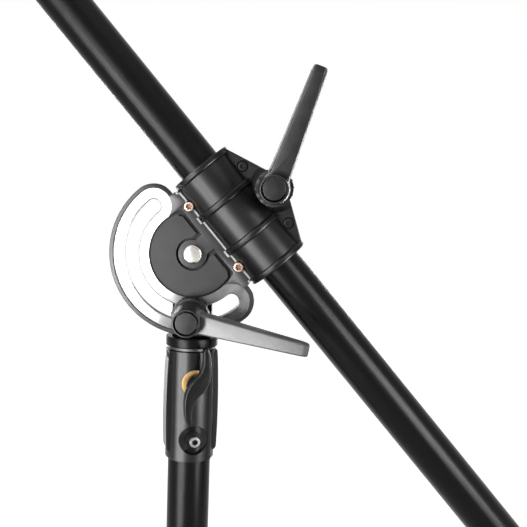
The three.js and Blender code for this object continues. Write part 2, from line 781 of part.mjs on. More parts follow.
// The barrel that both shells are cut from, grown all round by a clearance
function shellBarrel(clearance) {
  const half = shellHalfLength;
  const floor = shellRadius + clearance;
  const top = shellRibRadius + clearance;
  const profile = [[0, -half]];
  shellRibs.forEach((middle) => {
    const [low, high] = [middle - shellRibWidth / 2, middle + shellRibWidth / 2];
    if (low > -half) profile.push([floor, low - clearance]);
    profile.push([top, Math.max(-half, low + shellRibSlope - clearance)]);
    profile.push([top, Math.min(half, high - shellRibSlope + clearance)]);
    if (high < half) profile.push([floor, high + clearance]);
  });
  profile.push([0, half]);
  return alongX(revolve(profile, bodyFacets));
}

function earOutline() {
  return [
    [-shellHalfLength, 0], [shellHalfLength, 0],
    [shellHalfLength, earRoot], [shellHalfLength - earCornerInset, earShoulder],
    ...bend([earHalfPeak, earSlopeTop], [0, 2 * earPeak - earSlopeTop], [-earHalfPeak, earSlopeTop]),
    [earCornerInset - shellHalfLength, earShoulder], [-shellHalfLength, earRoot],
  ];
}

const shellDepth = shellRibRadius + overrun;
const earFace = splitHalfGap + earThickness;

// One shell, built as the front one. The rear shell has a thicker flange and no boss, and is turned over.
function clampShell(flangeThickness, isFront) {
  const flangeEdge = rootStep + seatGap - boomOffset;
  const flangeDepth = [splitHalfGap, splitHalfGap + flangeThickness];
  const flange = box(-flangeHalfLength, flangeHalfLength, flangeEdge, -shellBore, ...flangeDepth);
  const ear = prism(earOutline(), splitHalfGap, earFace);
  const length = [-shellHalfLength, shellHalfLength];
  const half = box(...length, flangeEdge - overrun, earPeak, splitHalfGap, shellDepth);
  let body = join(common(shellBarrel(0), half), flange, ear);
  if (isFront) {
    const bossHeight = bossTop - boomForward;
    const cone = revolve([
      [0, splitHalfGap], [bossBaseRadius, splitHalfGap], [bossBaseRadius, earFace],
      [bossTopRadius, bossHeight], [0, bossHeight],
    ], bodyFacets);
    const trim = prism(earOutline(), splitHalfGap, bossHeight);
    body = join(body, common(moved(cone, 0, clampBoltReach, 0), trim));
  }
  const lip = shellHalfLength - sleeveLipLength;
  const bore = alongX(rod(shellBore, -lip, lip, tubeFacets));
  const ends = [-shellHalfLength - overrun, shellHalfLength + overrun];
  const mouth = alongX(rod(sleeveInner + slideGap + seatGap, ...ends, tubeFacets));
  const through = [-overrun, shellDepth];
  const boltHole = moved(rod(boltRadius + seatGap, ...through, smallFacets), 0, clampBoltReach, 0);
  const cutters = [bore, mouth, boltHole];
  [-1, 1].forEach((side) => {
    const plateScrewAt = [side * plateScrewSpacing, plateScrewOffset - boomOffset, 0];
    const earScrewAt = [side * earScrewSpacing, earScrewReach, 0];
    cutters.push(moved(rod(plateScrewRadius + slideGap, ...through, smallFacets), ...plateScrewAt));
    cutters.push(moved(rod(earScrewRadius + slideGap, ...through, smallFacets), ...earScrewAt));
    if (isFront) {
      const lugFloor = plateFace - rootThickness - boomForward - seatGap;
      const earFloor = earFace - earScrewHeadHeight - seatGap;
      cutters.push(moved(rod(lugRadius + seatGap, lugFloor, shellDepth, smallFacets), ...plateScrewAt));
      cutters.push(moved(rod(earRecessRadius, earFloor, shellDepth, smallFacets), ...earScrewAt));
    }
  });
  return cut(body, ...cutters);
}

const frontClampShell = () => clampShell(frontFlangeThickness, true);

function rearClampShell() {
  return facingOut(clampShell(rearFlangeThickness, false).scale(1, 1, -1));
}

function earScrew(side) {
  const seat = earFace - earScrewHeadHeight;
  const top = seat + earScrewHeadHeight;
  const head = chamferedRod(earScrewHeadRadius, seat, top, edgeBreak / 2, smallFacets);
  const shank = rod(earScrewRadius, edgeBreak - earFace, seat + edgeBreak, smallFacets);
  const socket = hexagon(earScrewSocketWidth, top - earScrewSocketDepth, top + overrun);
  return moved(cut(join(head, shank), socket), side * earScrewSpacing, earScrewReach, 0);
}

function clampBolt() {
  const seat = boomForward - earFace - seatGap;
  const tip = clampNutBase + stemThreadDepth - seatGap;
  return moved(hexBolt(seat, tip), 0, clampBoltOffset, 0);
}

function clampWasher() {
  const from = bossTop + seatGap;
  const washer = ring(clampWasherRadius, boltRadius + seatGap, from, from + lockWasherHeight, bodyFacets);
  return moved(washer, 0, clampBoltOffset, 0);
}

function clampSleeve() {
  const half = shellHalfLength - sleeveLipLength - seatGap;
  const tube = alongX(ring(sleeveOuter, sleeveInner, -half, half, tubeFacets));
  const slitWidth = [-sleeveSlit / 2, sleeveSlit / 2];
  return cut(tube, box(-half - overrun, half + overrun, 0, sleeveOuter + overrun, ...slitWidth));
}

// Ratchet lever set. All heights run from the nut's base, towards the viewer.
const toothOutline = (clearance) =>
  lobed(toothTipRadius + clearance, toothTipRadius - toothRootRadius, toothCount, toothPoints);

function leverNut() {
  const flange = prism(lobed(nutRadius, nutScallop, nutScallops, scallopPoints), 0, nutHeight);
  const toothTop = nutHeight + toothLength;
  const tooth = prism(toothOutline(-seatGap), nutHeight - edgeBreak, toothTop);
  const pilot = rod(pilotRadius, nutHeight, nutHeight + stemLength, smallFacets);
  const thread = rod(boltRadius + slideGap, -overrun, stemThreadDepth, smallFacets);
  const screwHole = rod(retainerRadius + slideGap, 0, nutHeight + stemLength + overrun, smallFacets);
  return cut(join(flange, tooth, pilot), thread, screwHole);
}

// One cross-section of the arm, at a distance from the axis: width, thickness and height of its back
function armSection(distance, width, thickness, back) {
  const [half, front] = [width / 2, back + thickness];
  const face = half - armDraft;
  return [
    [distance, -half, back], [distance, half, back],
    [distance, face + armCorner / 2, front - armCorner], [distance, face - armCorner, front],
    [distance, armCorner - face, front], [distance, -face - armCorner / 2, front - armCorner],
  ];
}

function leverArm() {
  const between = (from, to, share) => from + (to - from) * share;
  const at = (share, distance = between(armStart, armLength, share)) => armSection(
    distance, between(armRootWidth, armTipWidth, share),
    between(armRootThickness, armTipThickness, share), between(armRootBack, armTipBack, share),
  );
  const [tipWidth, tipThickness] = [armTipWidth - 2 * armCorner, armTipThickness - armCorner];
  const tip = armSection(armLength, tipWidth, tipThickness, armTipBack + armCorner / 2);
  return loft([at(0), at(0.5), at(1, armLength - armCorner), tip]);
}

function lever() {
  const base = nutHeight + seatGap;
  const shell = revolve([
    [0, base], [hubBaseRadius, base], [hubTopRadius, hubHeight - edgeBreak],
    [hubTopRadius - edgeBreak / 2, hubHeight], [0, hubHeight],
  ], bodyFacets);
  const teeth = prism(toothOutline(seatGap), 0, nutHeight + toothLength + seatGap);
  const pilotBore = rod(pilotRadius + seatGap, 0, hubHeight, smallFacets);
  const springBore = rod(hubBoreRadius, springShoulder, hubHeight + overrun, bodyFacets);
  return cut(join(shell, leverArm()), teeth, pilotBore, springBore);
}

function leverCap() {
  const back = hubHeight - capHeight;
  return revolve([
    [0, back], [capRadius, back], [capRadius, hubHeight - capCrown], [capRadius - capCrown, hubHeight],
    [0, hubHeight],
  ], bodyFacets);
}

// The helix of the spring, from the hub's shoulder to the retaining screw's flange
class Helix extends THREE.Curve {
  getPoint(t) {
    const angle = 2 * Math.PI * springTurns * t;
    const low = springShoulder + springWire + seatGap;
    const high = springSeat - springWire - seatGap;
    return new THREE.Vector3(
      springRadius * Math.cos(angle), springRadius * Math.sin(angle), low + (high - low) * t,
    );
  }
}

function leverSpring() {
  const wire = new THREE.Shape();
  wire.absarc(0, 0, springWire, 0, 2 * Math.PI, false);
  const steps = springTurns * coilSteps;
  return closed(new THREE.ExtrudeGeometry(wire, { steps, curveSegments: 3, extrudePath: new Helix() }));
}

function retainingScrew() {
  const flangeTop = springSeat + retainerFlangeHeight;
  const shank = rod(retainerRadius, stemThreadDepth + seatGap, springSeat + edgeBreak / 2, smallFacets);
  const flange = rod(retainerFlangeRadius, springSeat, flangeTop, bodyFacets);
  const head = chamferedRod(
    retainerHeadRadius, flangeTop - edgeBreak, flangeTop + retainerHeadHeight, edgeBreak, smallFacets,
  );
  const socket = hexagon(retainerHeadRadius, flangeTop, flangeTop + retainerHeadHeight + overrun);
  return cut(join(shank, flange, head), socket);
}

function leverSet(parent, prefix, offset, base, angle) {
  const set = new THREE.Group();
  set.position.set(0, offset, base);
  set.rotation.z = radians(angle);
  parent.add(set);
  piece(set, `${prefix}_nut`, leverNut(), blackSteel());
  piece(set, `${prefix}_lever`, lever(), leverBlack());
  piece(set, `${prefix}_cap`, leverCap(), plastic());
  piece(set, `${prefix}_spring`, leverSpring(), brightSteel());
  piece(set, `${prefix}_retaining_screw`, retainingScrew(), brightSteel());
}

// Boom tube with its rear cap, weight eye and the eye's nut
const boomTube = () => alongX(ring(boomRadius, boomInner, -boomFront, boomRear, tubeFacets));

function rearCap() {
  const rim = boomRadius + capRimProud;
  const inside = boomInner - slideGap;
  const [start, end] = [boomRear + seatGap, boomRear + seatGap + capRimHeight];
  const bore = eyeWire + slideGap;
  return alongX(revolve([
    [bore, start - capDepth], [inside, start - capDepth], [inside, start], [rim, start],
    [rim, end - edgeBreak], [rim - edgeBreak, end], [bore, end],
  ], bodyFacets));
}

function weightEye() {
  const capEnd = boomRear + seatGap + capRimHeight;
  const centre = capEnd + eyeRadius + eyeWire + seatGap;
  const loop = closed(new THREE.TorusGeometry(eyeRadius, eyeWire, wireFacets, bodyFacets));
  const shank = alongX(rod(eyeWire, boomRear - eyeShankInside, centre - eyeRadius, smallFacets));
  return join(moved(loop, centre, 0, 0), shank);
}

function eyeNut() {
  const end = boomRear - capDepth;
  const nut = hexagon(eyeNutWidth, end - eyeNutHeight, end);
  const bore = rod(eyeWire + slideGap, end - eyeNutHeight - overrun, end + overrun, smallFacets);
  return alongX(cut(nut, bore));
}

// Collar on the boom tube's front end, with a boss for the lock knob on the side away from the viewer
function extensionCollar() {
  const [nose, grip] = [-boomFront - collarNose, -boomFront + collarGrip];
  const sleeve = alongX(chamferedRod(collarRadius, nose, grip, 2 * edgeBreak, bodyFacets));
  const boss = rod(knobBossRadius, 0, knobBossTop, smallFacets).rotateX(Math.PI);
  const body = join(sleeve, moved(boss, -boomFront - knobOffset, 0, 0));
  const tubeSeat = alongX(rod(boomRadius + slideGap, -boomFront - seatGap, grip + overrun, bodyFacets));
  const bore = alongX(rod(extensionRadius + slideGap, nose - overrun, grip, bodyFacets));
  const screwHole = rod(knobScrewRadius + slideGap, 0, knobBossTop + overrun, smallFacets).rotateX(Math.PI);
  return cut(body, tubeSeat, bore, moved(screwHole, -boomFront - knobOffset, 0, 0));
}

function extensionKnob() {
  const seat = knobBossTop + seatGap;
  const grip = prism(lobed(knobRadius, knobScallop, knobScallops, knobPoints), seat, seat + knobHeight);
  const screw = rod(knobScrewRadius, extensionRadius + seatGap, seat + edgeBreak, smallFacets);
  return moved(join(grip, screw).rotateX(Math.PI), -boomFront - knobOffset, 0, 0);
}

// Extension tube, the bush on its inner end and the spigot on its outer end
const extensionStart = -boomFront - extensionProud;
const extensionEnd = boomRear - extensionStop;

const extensionTube = () =>
  alongX(ring(extensionRadius, extensionInner, extensionStart, extensionEnd, tubeFacets));

function guideBush() {
  const [from, to] = [extensionEnd + seatGap, extensionEnd + bushLength];
  return alongX(ring(boomInner - slideGap, extensionInner, from, to, bodyFacets));
}

function endSpigot() {
  const rim = extensionRadius + spigotRimProud;
  const start = extensionStart - seatGap;
  const rimEnd = start - spigotRimHeight;
  const tip = rimEnd - spigotEndLength;
  const inside = extensionInner - slideGap;
  const [waistEnd, waistStart] = [rimEnd - spigotEndWaistEnd, rimEnd - spigotEndWaistStart];
  return alongX(revolve([
    [0, tip], [spigotEndRadius - edgeBreak, tip], [spigotEndRadius, tip + edgeBreak],
    [spigotEndRadius, waistEnd], [spigotEndWaist, waistEnd + edgeBreak],
    [spigotEndWaist, waistStart - edgeBreak], [spigotEndRadius, waistStart],
    [spigotEndRadius, rimEnd], [rim, rimEnd], [rim, start], [inside, start],
    [inside, start + spigotPlugDepth], [0, start + spigotPlugDepth],
  ], bodyFacets));
}

// The assembly
piece(column, 'column_plug', columnPlug(), plastic());
piece(column, 'column_tube', columnTube(), blackTube());
piece(column, 'receiver_casting', receiverCasting(), blackCasting());

function onReceiver(name, geometry, material, height) {
  piece(receiverFront, name, moved(geometry, 0, receiverBottom + height, 0), material);
}

onReceiver('brass_insert', brassInsert(), brass(), wingHeight);
onReceiver('wing_screw', wingScrew(), blackCasting(), wingHeight);
onReceiver('casting_washer', castingWasher(), blackSteel(), recessHeight);
onReceiver('casting_screw', castingScrew(), blackSteel(), recessHeight);

piece(head, 'head_yoke', headYoke(), blackCasting());
piece(head, 'thrust_washer', thrustWasher(), darkNylon());
piece(head, 'pivot_bush', pivotBush(), brass());
piece(head, 'pivot_friction_washer', pivotFrictionWasher(), darkNylon());
piece(head, 'lock_friction_washer', lockFrictionWasher(), darkNylon());
piece(head, 'pivot_bolt', pivotBolt(), brightSteel());
piece(head, 'pivot_washer', pivotWasher(), brightSteel());
piece(head, 'pivot_nut', pivotNut(), brightSteel());
piece(head, 'lock_bolt', lockBolt(), brightSteel());
piece(head, 'lock_washer', lockWasher(), brightSteel());
leverSet(head, 'lock', -lockRadius, lockNutBase, lockLeverAngle);

piece(clamp, 'sector_plate', sectorPlate(), darkPlate());
piece(clamp, 'plate_screw_upper', plateScrew(-1), zincSteel());
piece(clamp, 'plate_screw_lower', plateScrew(1), zincSteel());
piece(clamp, 'clamp_bolt', clampBolt(), brightSteel());
piece(clamp, 'clamp_washer', clampWasher(), brightSteel());
leverSet(clamp, 'clamp', clampBoltOffset, clampNutBase, clampLeverAngle + boomAngle);

piece(boom, 'front_clamp_shell', frontClampShell(), blackCasting());
piece(boom, 'rear_clamp_shell', rearClampShell(), blackCasting());
piece(boom, 'ear_screw_upper', earScrew(-1), blackSteel());
piece(boom, 'ear_screw_lower', earScrew(1), blackSteel());
piece(boom, 'clamp_sleeve', clampSleeve(), darkNylon());
piece(boom, 'boom_tube', boomTube(), blackTube());
piece(boom, 'rear_cap', rearCap(), plastic());
piece(boom, 'weight_eye', weightEye(), brightSteel());
piece(boom, 'eye_nut', eyeNut(), brightSteel());
piece(boom, 'extension_collar', extensionCollar(), plastic());
piece(boom, 'extension_knob', extensionKnob(), plastic());
piece(boom, 'extension_tube', extensionTube(), blackTube());
piece(boom, 'guide_bush', guideBush(), nylon());
piece(boom, 'end_spigot', endSpigot(), brightSteel());

export default arm;
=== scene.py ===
# Overhead boom arm: the fine surface, finishes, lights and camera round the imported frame.
# Shapes are made in millimetres in the frame of the group that carries them, then placed in metres.
from math import asin, cos, degrees, dist, hypot, pi, radians, sin, sqrt

import bmesh
import bpy
from mathutils import Matrix, Vector


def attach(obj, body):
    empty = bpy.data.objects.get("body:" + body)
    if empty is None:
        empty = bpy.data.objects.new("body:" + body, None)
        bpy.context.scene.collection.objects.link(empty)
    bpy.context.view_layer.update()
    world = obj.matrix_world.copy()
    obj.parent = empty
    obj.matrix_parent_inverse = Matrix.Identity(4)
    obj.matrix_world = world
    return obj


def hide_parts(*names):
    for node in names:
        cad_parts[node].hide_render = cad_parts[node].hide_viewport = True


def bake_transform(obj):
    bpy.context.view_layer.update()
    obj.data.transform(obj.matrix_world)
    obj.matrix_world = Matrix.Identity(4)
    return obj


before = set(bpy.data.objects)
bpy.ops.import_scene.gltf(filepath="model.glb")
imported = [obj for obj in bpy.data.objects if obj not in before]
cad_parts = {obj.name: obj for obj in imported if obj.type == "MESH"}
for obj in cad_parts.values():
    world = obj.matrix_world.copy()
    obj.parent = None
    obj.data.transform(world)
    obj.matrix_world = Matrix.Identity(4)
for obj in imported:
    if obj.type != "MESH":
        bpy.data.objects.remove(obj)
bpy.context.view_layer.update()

scene = bpy.context.scene

MM = 0.001

# Driving sizes, the same as the frame's, in millimetres
SEAT = 0.3
SLIDE = 0.25
OVERRUN = 3
WASHER_HEIGHT = 1.6
EDGE = 0.8

PIVOT_HEIGHT = 414
BOOM_ANGLE = 49
COLUMN_TURN = 15
LOCK_ANGLE = -10
CLAMP_ANGLE = 71

COLUMN_RADIUS = 17.5
TUBE_WALL = 1.5
PLUG_RIM = 4
PLUG_PROUD = 1
PLUG_DEPTH = 20

RECEIVER_HEIGHT = 90
CORE_RADIUS = 20
PANEL_RADIUS = 21
PANEL_HALF = 15.5
COLUMN_SEAT = 38
RIB_DEPTH = 9
RIB_TOP = 20
RIB_BELLY = 22.4
RIB_FOOT = 20.6
RIB_FOOT_HEIGHT = 8
RIB_TOE = 17
RIB_TOE_HEIGHT = 5
BRASS_RADIUS = 11
BRASS_SET = 1.4
RECESS_RADIUS = 12
RECESS_DEPTH = 2
RECESS_HEIGHT = 18
SCREW_SEAT_RADIUS = 7
MOAT_FLOOR = 16.6
CASTING_SCREW_HOLE = 3.4

WING_DROP = 104
WING_SHANK = 4.9
WING_HUB = 8.4
WING_HUB_LENGTH = 8
WING_THICKNESS = 6
WING_REACH = 31

TONGUE_HALF = 16
TONGUE_THICKNESS = 12
FOOT_HEIGHT = 10
FOOT_DEPTH = 6
FLANGE_DROP = 68
FLANGE_HEIGHT = 8
FLANGE_RADIUS = 21.3
THRUST_RADIUS = 18.5
THRUST_HEIGHT = 2.4
SPIGOT_RADIUS = 14.3
SPIGOT_LENGTH = 46
WAIST_RADIUS = 12.3
WAIST_HALF = 8
WAIST_SLOPE = 2.5

PIVOT_RADIUS = 4
PIVOT_NUT_HEIGHT = 7

LOCK_RADIUS = 49
BOLT_RADIUS = 4.9
LOCK_WASHER_RADIUS = 13
CLAMP_WASHER_RADIUS = 12
BOLT_WASHER_HEIGHT = 2

SECTOR_RADIUS = 67
SECTOR_BASE = 5
SECTOR_RELIEF = 1.3
SLOT_HALF = 5.8
BAND_HALF = 14.4
PAD_RADIUS = 33.6
PAD_INNER = 13.4
PAD_EDGE = 12.7
PAD_CORNER = 4
PAD_ROUND = 1.2
PAD_GROOVE = 3
PAD_MARGIN = 1.8
TRENCH_DEPTH = 1.6
BOSS_RADIUS = 11.6
BOSS_EDGE = 0.5
NECK_HALF = 7.5
STRIP_DROP = 0.08
STRIP_WIDTH = 5.6
ROOT_THICKNESS = 3
ROOT_STEP = 17.2
ROOT_SHARE = 0.3
LOBE_CORNER = 99
PLATE_SCREW_S = 31
PLATE_SCREW_N = 22
LUG_RADIUS = 4.7
PLATE_SCREW_RADIUS = 2.5
PLATE_HEAD_HEIGHT = 3
PLATE_SOCKET_RADIUS = 2.7
PLATE_SOCKET_DEPTH = 2

BOOM_OFFSET = 48
BOOM_FORWARD = 8
SHELL_HALF = 50
SHELL_RADIUS = 24
RIB_RADIUS = 26
RIB_WIDTH = 5
RIB_SLOPE = 0.4
RIB_ROUND = 0.3
RIB_INSET = 17
SPLIT = 0.6
FRONT_FLANGE = 2
REAR_FLANGE = 5
FLANGE_HALF = 46
EAR_THICKNESS = 6.9
EAR_SHOULDER = 73
EAR_ROOT = 66
EAR_SLOPE_TOP = 87
EAR_PEAK = 91
EAR_HALF_PEAK = 16
EAR_CORNER = 1.5
EAR_SCREW_S = 28.8
EAR_SCREW_N = 75
EAR_SCREW_RADIUS = 2.4
EAR_HEAD_HEIGHT = 3
CLAMP_BOLT_N = 84
BOSS_BASE = 20
BOSS_TOP_RADIUS = 14.5
BOSS_TOP = 20
SLEEVE_WALL = 2
SLEEVE_LIP = 1.8

NUT_RADIUS = 15.3
NUT_HEIGHT = 10
TOOTH_RADIUS = 7.3
TOOTH_DEPTH = 0.9
TOOTH_COUNT = 12
TOOTH_LENGTH = 4.2
PILOT_RADIUS = 5.8
THREAD_DEPTH = 12
RETAINER_RADIUS = 2.4
HUB_BASE = 12.8
HUB_TOP = 11
HUB_HEIGHT = 41
CAP_RADIUS = 8.8
CAP_HEIGHT = 2.6
ARM_START = 5
ARM_CORNER = 1.2
ARM_LENGTH = 95
ARM_ROOT_WIDTH = 18.5
ARM_TIP_WIDTH = 12
ARM_DRAFT = 1.6
ARM_ROOT_THICKNESS = 12
ARM_TIP_THICKNESS = 7
ARM_ROOT_BACK = 21
ARM_TIP_BACK = 42
SPRING_LOW = 22
SPRING_HIGH = 32
SPRING_RADIUS = 8.2
SPRING_WIRE = 0.7
SPRING_TURNS = 4

BOOM_RADIUS = 17.5
BOOM_REAR = 400
BOOM_FRONT = 560
EXTENSION_RADIUS = 15
EXTENSION_PROUD = 80
EXTENSION_LENGTH = 880
REAR_CAP_RIM = 5
EYE_WIRE = 4
KNOB_OFFSET = 17
KNOB_BOSS_TOP = 27
KNOB_SCREW_RADIUS = 2.9

PLATE_BACK = TONGUE_THICKNESS / 2 + 2 * SEAT + 1
PLATE_FLOOR = PLATE_BACK + SECTOR_BASE
PLATE_FACE = PLATE_FLOOR + SECTOR_RELIEF
PIVOT_WASHER_BACK = -TONGUE_THICKNESS / 2 - SEAT - WASHER_HEIGHT
PIVOT_NUT_FRONT = PIVOT_WASHER_BACK - SEAT
PIVOT_NUT_BACK = PIVOT_NUT_FRONT - PIVOT_NUT_HEIGHT
LOCK_BASE = PLATE_FLOOR + BOLT_WASHER_HEIGHT + 2 * SEAT
CLAMP_BASE = BOSS_TOP + BOLT_WASHER_HEIGHT + 2 * SEAT
RECEIVER_TOP = PIVOT_HEIGHT - FLANGE_DROP - FLANGE_HEIGHT - THRUST_HEIGHT - 2 * SEAT
RECEIVER_BOTTOM = RECEIVER_TOP - RECEIVER_HEIGHT
WING_HEIGHT = PIVOT_HEIGHT - WING_DROP - RECEIVER_BOTTOM
RECESS_FLOOR = PANEL_RADIUS - RECESS_DEPTH


def spun(angle):
    return Matrix.Rotation(radians(angle), 4, "Z")


# Frames of the groups
QUARTER = Matrix.Rotation(pi / 2, 4, "X")
COLUMN = spun(COLUMN_TURN)
RECEIVER = COLUMN @ QUARTER
HEAD = Matrix.Translation((0, 0, PIVOT_HEIGHT)) @ QUARTER
CLAMP = HEAD @ spun(-BOOM_ANGLE)
BOOM = CLAMP @ Matrix.Translation((0, BOOM_OFFSET, BOOM_FORWARD))
ALONG_X = Matrix.Rotation(pi / 2, 4, "Y")
ALONG_Y = Matrix.Rotation(-pi / 2, 4, "X")
ALONG = BOOM @ ALONG_X


# Mesh kit
TOUCHING = 1e-4
ON_AXIS = 1e-6
FILLET_SHARE = 0.45


def linked(name, data):
    obj = bpy.data.objects.new(name, data)
    scene.collection.objects.link(obj)
    return obj


def cleaned(bm, name):
    """The mesh as an object, its doubled points merged and its faces turned outwards."""
    bmesh.ops.remove_doubles(bm, verts=bm.verts, dist=TOUCHING)
    bmesh.ops.recalc_face_normals(bm, faces=bm.faces)
    mesh = bpy.data.meshes.new(name)
    bm.to_mesh(mesh)
    bm.free()
    return linked(mesh.name, mesh)


def filleted(points, radius, steps=3, axis=False):
    """The closed outline with its corners rounded, apart from those on the axis where it has one."""
    result = []
    count = len(points)
    for i, point in enumerate(points):
        here = Vector(point)
        before, after = Vector(points[i - 1]), Vector(points[(i + 1) % count])
        if axis and abs(here.x) < EDGE / 9:
            result.append(tuple(here))
            continue
        reach = min(radius, (before - here).length * FILLET_SHARE, (after - here).length * FILLET_SHARE)
        a = here + (before - here).normalized() * reach
        b = here + (after - here).normalized() * reach
        for k in range(steps + 1):
            t = k / steps
            result.append(tuple(a.lerp(here, t).lerp(here.lerp(b, t), t)))
    return result


def lathe(profile, steps=64, rounding=0.0):
    """A solid of revolution about Z from radius and height pairs that close on themselves."""
    if rounding:
        profile = filleted(profile, rounding, 3, True)
    bm = bmesh.new()
    rings = []
    for i in range(steps):
        angle = 2 * pi * i / steps
        rings.append([bm.verts.new((r * cos(angle), r * sin(angle), z)) for r, z in profile])
    for i in range(steps):
        here, following = rings[i], rings[(i + 1) % steps]
        for k in range(len(profile)):
            m = (k + 1) % len(profile)
            if profile[k][0] < ON_AXIS and profile[m][0] < ON_AXIS:
                continue
            bm.faces.new((here[k], here[m], following[m], following[k]))
    bmesh.ops.remove_doubles(bm, verts=bm.verts, dist=TOUCHING / 10)
    bmesh.ops.dissolve_degenerate(bm, edges=bm.edges, dist=TOUCHING / 10)
    return cleaned(bm, "lathe")


def rod(radius, low, high, steps=48, rounding=0.0):
    return lathe([(0, low), (radius, low), (radius, high), (0, high)], steps, rounding)


def ring(outer, inner, low, high, steps=64, rounding=0.0):
    return lathe([(inner, low), (outer, low), (outer, high), (inner, high)], steps, rounding)


def prism(outline, low, high, rounding=0.0, segments=3, ends=(True, True)):
    """An outline drawn out along Z, its two ends' edges rounded."""
    bm = bmesh.new()
    bottom = [bm.verts.new((x, y, low)) for x, y in outline]
    top = [bm.verts.new((x, y, high)) for x, y in outline]
    count = len(outline)
    caps = [bm.faces.new(list(reversed(bottom))), bm.faces.new(top)]
    for i in range(count):
        bm.faces.new((bottom[i], bottom[(i + 1) % count], top[(i + 1) % count], top[i]))
    if rounding:
        edges = [e for cap, wanted in zip(caps, ends) if wanted for e in cap.edges]
        bmesh.ops.bevel(bm, geom=edges, offset=rounding, segments=segments, profile=0.5,
                        affect="EDGES", clamp_overlap=True)
    return cleaned(bm, "prism")


def skinned(sections, name):
    """A solid whose side runs through closed rows of points, its two ends flat."""
    bm = bmesh.new()
    rings = [[bm.verts.new(point) for point in section] for section in sections]
    for here, following in zip(rings, rings[1:]):
        for i in range(len(here)):
            j = (i + 1) % len(here)
            bm.faces.new((here[i], here[j], following[j], following[i]))
    bm.faces.new(list(reversed(rings[0])))
    bm.faces.new(rings[-1])
    return cleaned(bm, name)


def loft(sections):
    """A solid through outlines with the same number of points, given with their heights."""
    return skinned([[(x, y, z) for x, y in outline] for outline, z in sections], "loft")


def block(x0, x1, y0, y1, z0, z1):
    return prism([(x0, y0), (x1, y0), (x1, y1), (x0, y1)], z0, z1)


def arc(x, y, radius, start, end, steps=24):
    """Points along an arc, its angles in degrees."""
    angles = [radians(start + (end - start) * i / steps) for i in range(steps + 1)]
    return [(x + radius * cos(a), y + radius * sin(a)) for a in angles]


def bend(first, middle, last, steps=12):
    """Points along a curve from first to last that middle draws towards it."""
    a, b, c = Vector(first), Vector(middle), Vector(last)
    return [tuple(a.lerp(b, i / steps).lerp(b.lerp(c, i / steps), i / steps)) for i in range(steps + 1)]


def hexagon(width):
    return arc(0, 0, width / sqrt(3), 30, 330, 5)


def lobed(radius, depth, count, points=8):
    """A round outline with a number of smooth scallops."""
    total = count * points
    angles = [2 * pi * i / total for i in range(total)]
    radii = [radius - depth * (1 - cos(count * a)) / 2 for a in angles]
    return [(r * cos(a), r * sin(a)) for r, a in zip(radii, angles)]


def moved(obj, x=0, y=0, z=0):
    obj.data.transform(Matrix.Translation((x, y, z)))
    return obj


def turned(obj, matrix):
    obj.data.transform(matrix)
    return obj


def combine(base, others, operation):
    for other in others:
        modifier = base.modifiers.new("boolean", "BOOLEAN")
        modifier.operation = operation
        modifier.solver = "MANIFOLD"
        modifier.object = other
    graph = bpy.context.evaluated_depsgraph_get()
    mesh = bpy.data.meshes.new_from_object(base.evaluated_get(graph))
    base.modifiers.clear()
    base.data = mesh
    for other in others:
        bpy.data.objects.remove(other)
    return base


def join(base, *others):
    return combine(base, others, "UNION")


def cut(base, *others):
    return combine(base, others, "DIFFERENCE")


def common(base, other):
    return combine(base, [other], "INTERSECT")


# Finishes
def add_node(tree, kind, operation=None, inputs=(), **named):
    """A new shader node, its inputs given in order or by name as values or other nodes' outputs."""
    node = tree.nodes.new("ShaderNode" + kind)
    if operation:
        node.operation = operation
    for key, value in [*enumerate(inputs), *named.items()]:
        socket = node.inputs[key if isinstance(key, int) else key.replace("_", " ")]
        if isinstance(value, bpy.types.NodeSocket):
            tree.links.new(value, socket)
        else:
            socket.default_value = value
    return node


def mixed(tree, first, second, share):
    """A mix of two colours."""
    node = tree.nodes.new("ShaderNodeMix")
    node.data_type = "RGBA"
    node.inputs["A"].default_value = (*first, 1)
    node.inputs["B"].default_value = (*second, 1)
    tree.links.new(share, node.inputs["Factor"])
    return node.outputs["Result"]


MOTTLE = 0.12
MOTTLE_SCALE = 60.0
SPREAD_SCALE = 140.0
NOISE_LOW = 0.3
NOISE_HIGH = 0.7


def finish(name, colour, roughness, metallic=0.0, specular=0.5, grain=900.0, bump=0.05, spread=0.03):
    """A fine-grained surface: mottled colour, uneven roughness and a shallow grain."""
    material = bpy.data.materials.new(name)
    material.use_nodes = True
    tree = material.node_tree
    link = tree.links.new
    shader = tree.nodes["Principled BSDF"]
    shader.inputs["Metallic"].default_value = metallic
    shader.inputs["Specular IOR Level"].default_value = specular
    place = add_node(tree, "TexCoord").outputs["Object"]

    def noise(scale, detail):
        return add_node(tree, "TexNoise", Scale=scale, Detail=detail, Vector=place).outputs["Fac"]

    dark, light = [c * (1 - MOTTLE) for c in colour], [min(1, c * (1 + MOTTLE)) for c in colour]
    link(mixed(tree, dark, light, noise(MOTTLE_SCALE, 4.0)), shader.inputs["Base Color"])
    uneven = add_node(tree, "MapRange", Value=noise(SPREAD_SCALE, 5.0), From_Min=NOISE_LOW, From_Max=NOISE_HIGH,
                      To_Min=roughness - spread, To_Max=roughness + spread)
    link(uneven.outputs["Result"], shader.inputs["Roughness"])
    if bump:
        relief = add_node(tree, "Bump", Strength=bump, Distance=MM / 5, Height=noise(grain, 2.0))
        link(relief.outputs["Normal"], shader.inputs["Normal"])
    return material


def grey(level, tint=0.0):
    """A grey, its blue a little stronger."""
    return (level, level, level + tint)


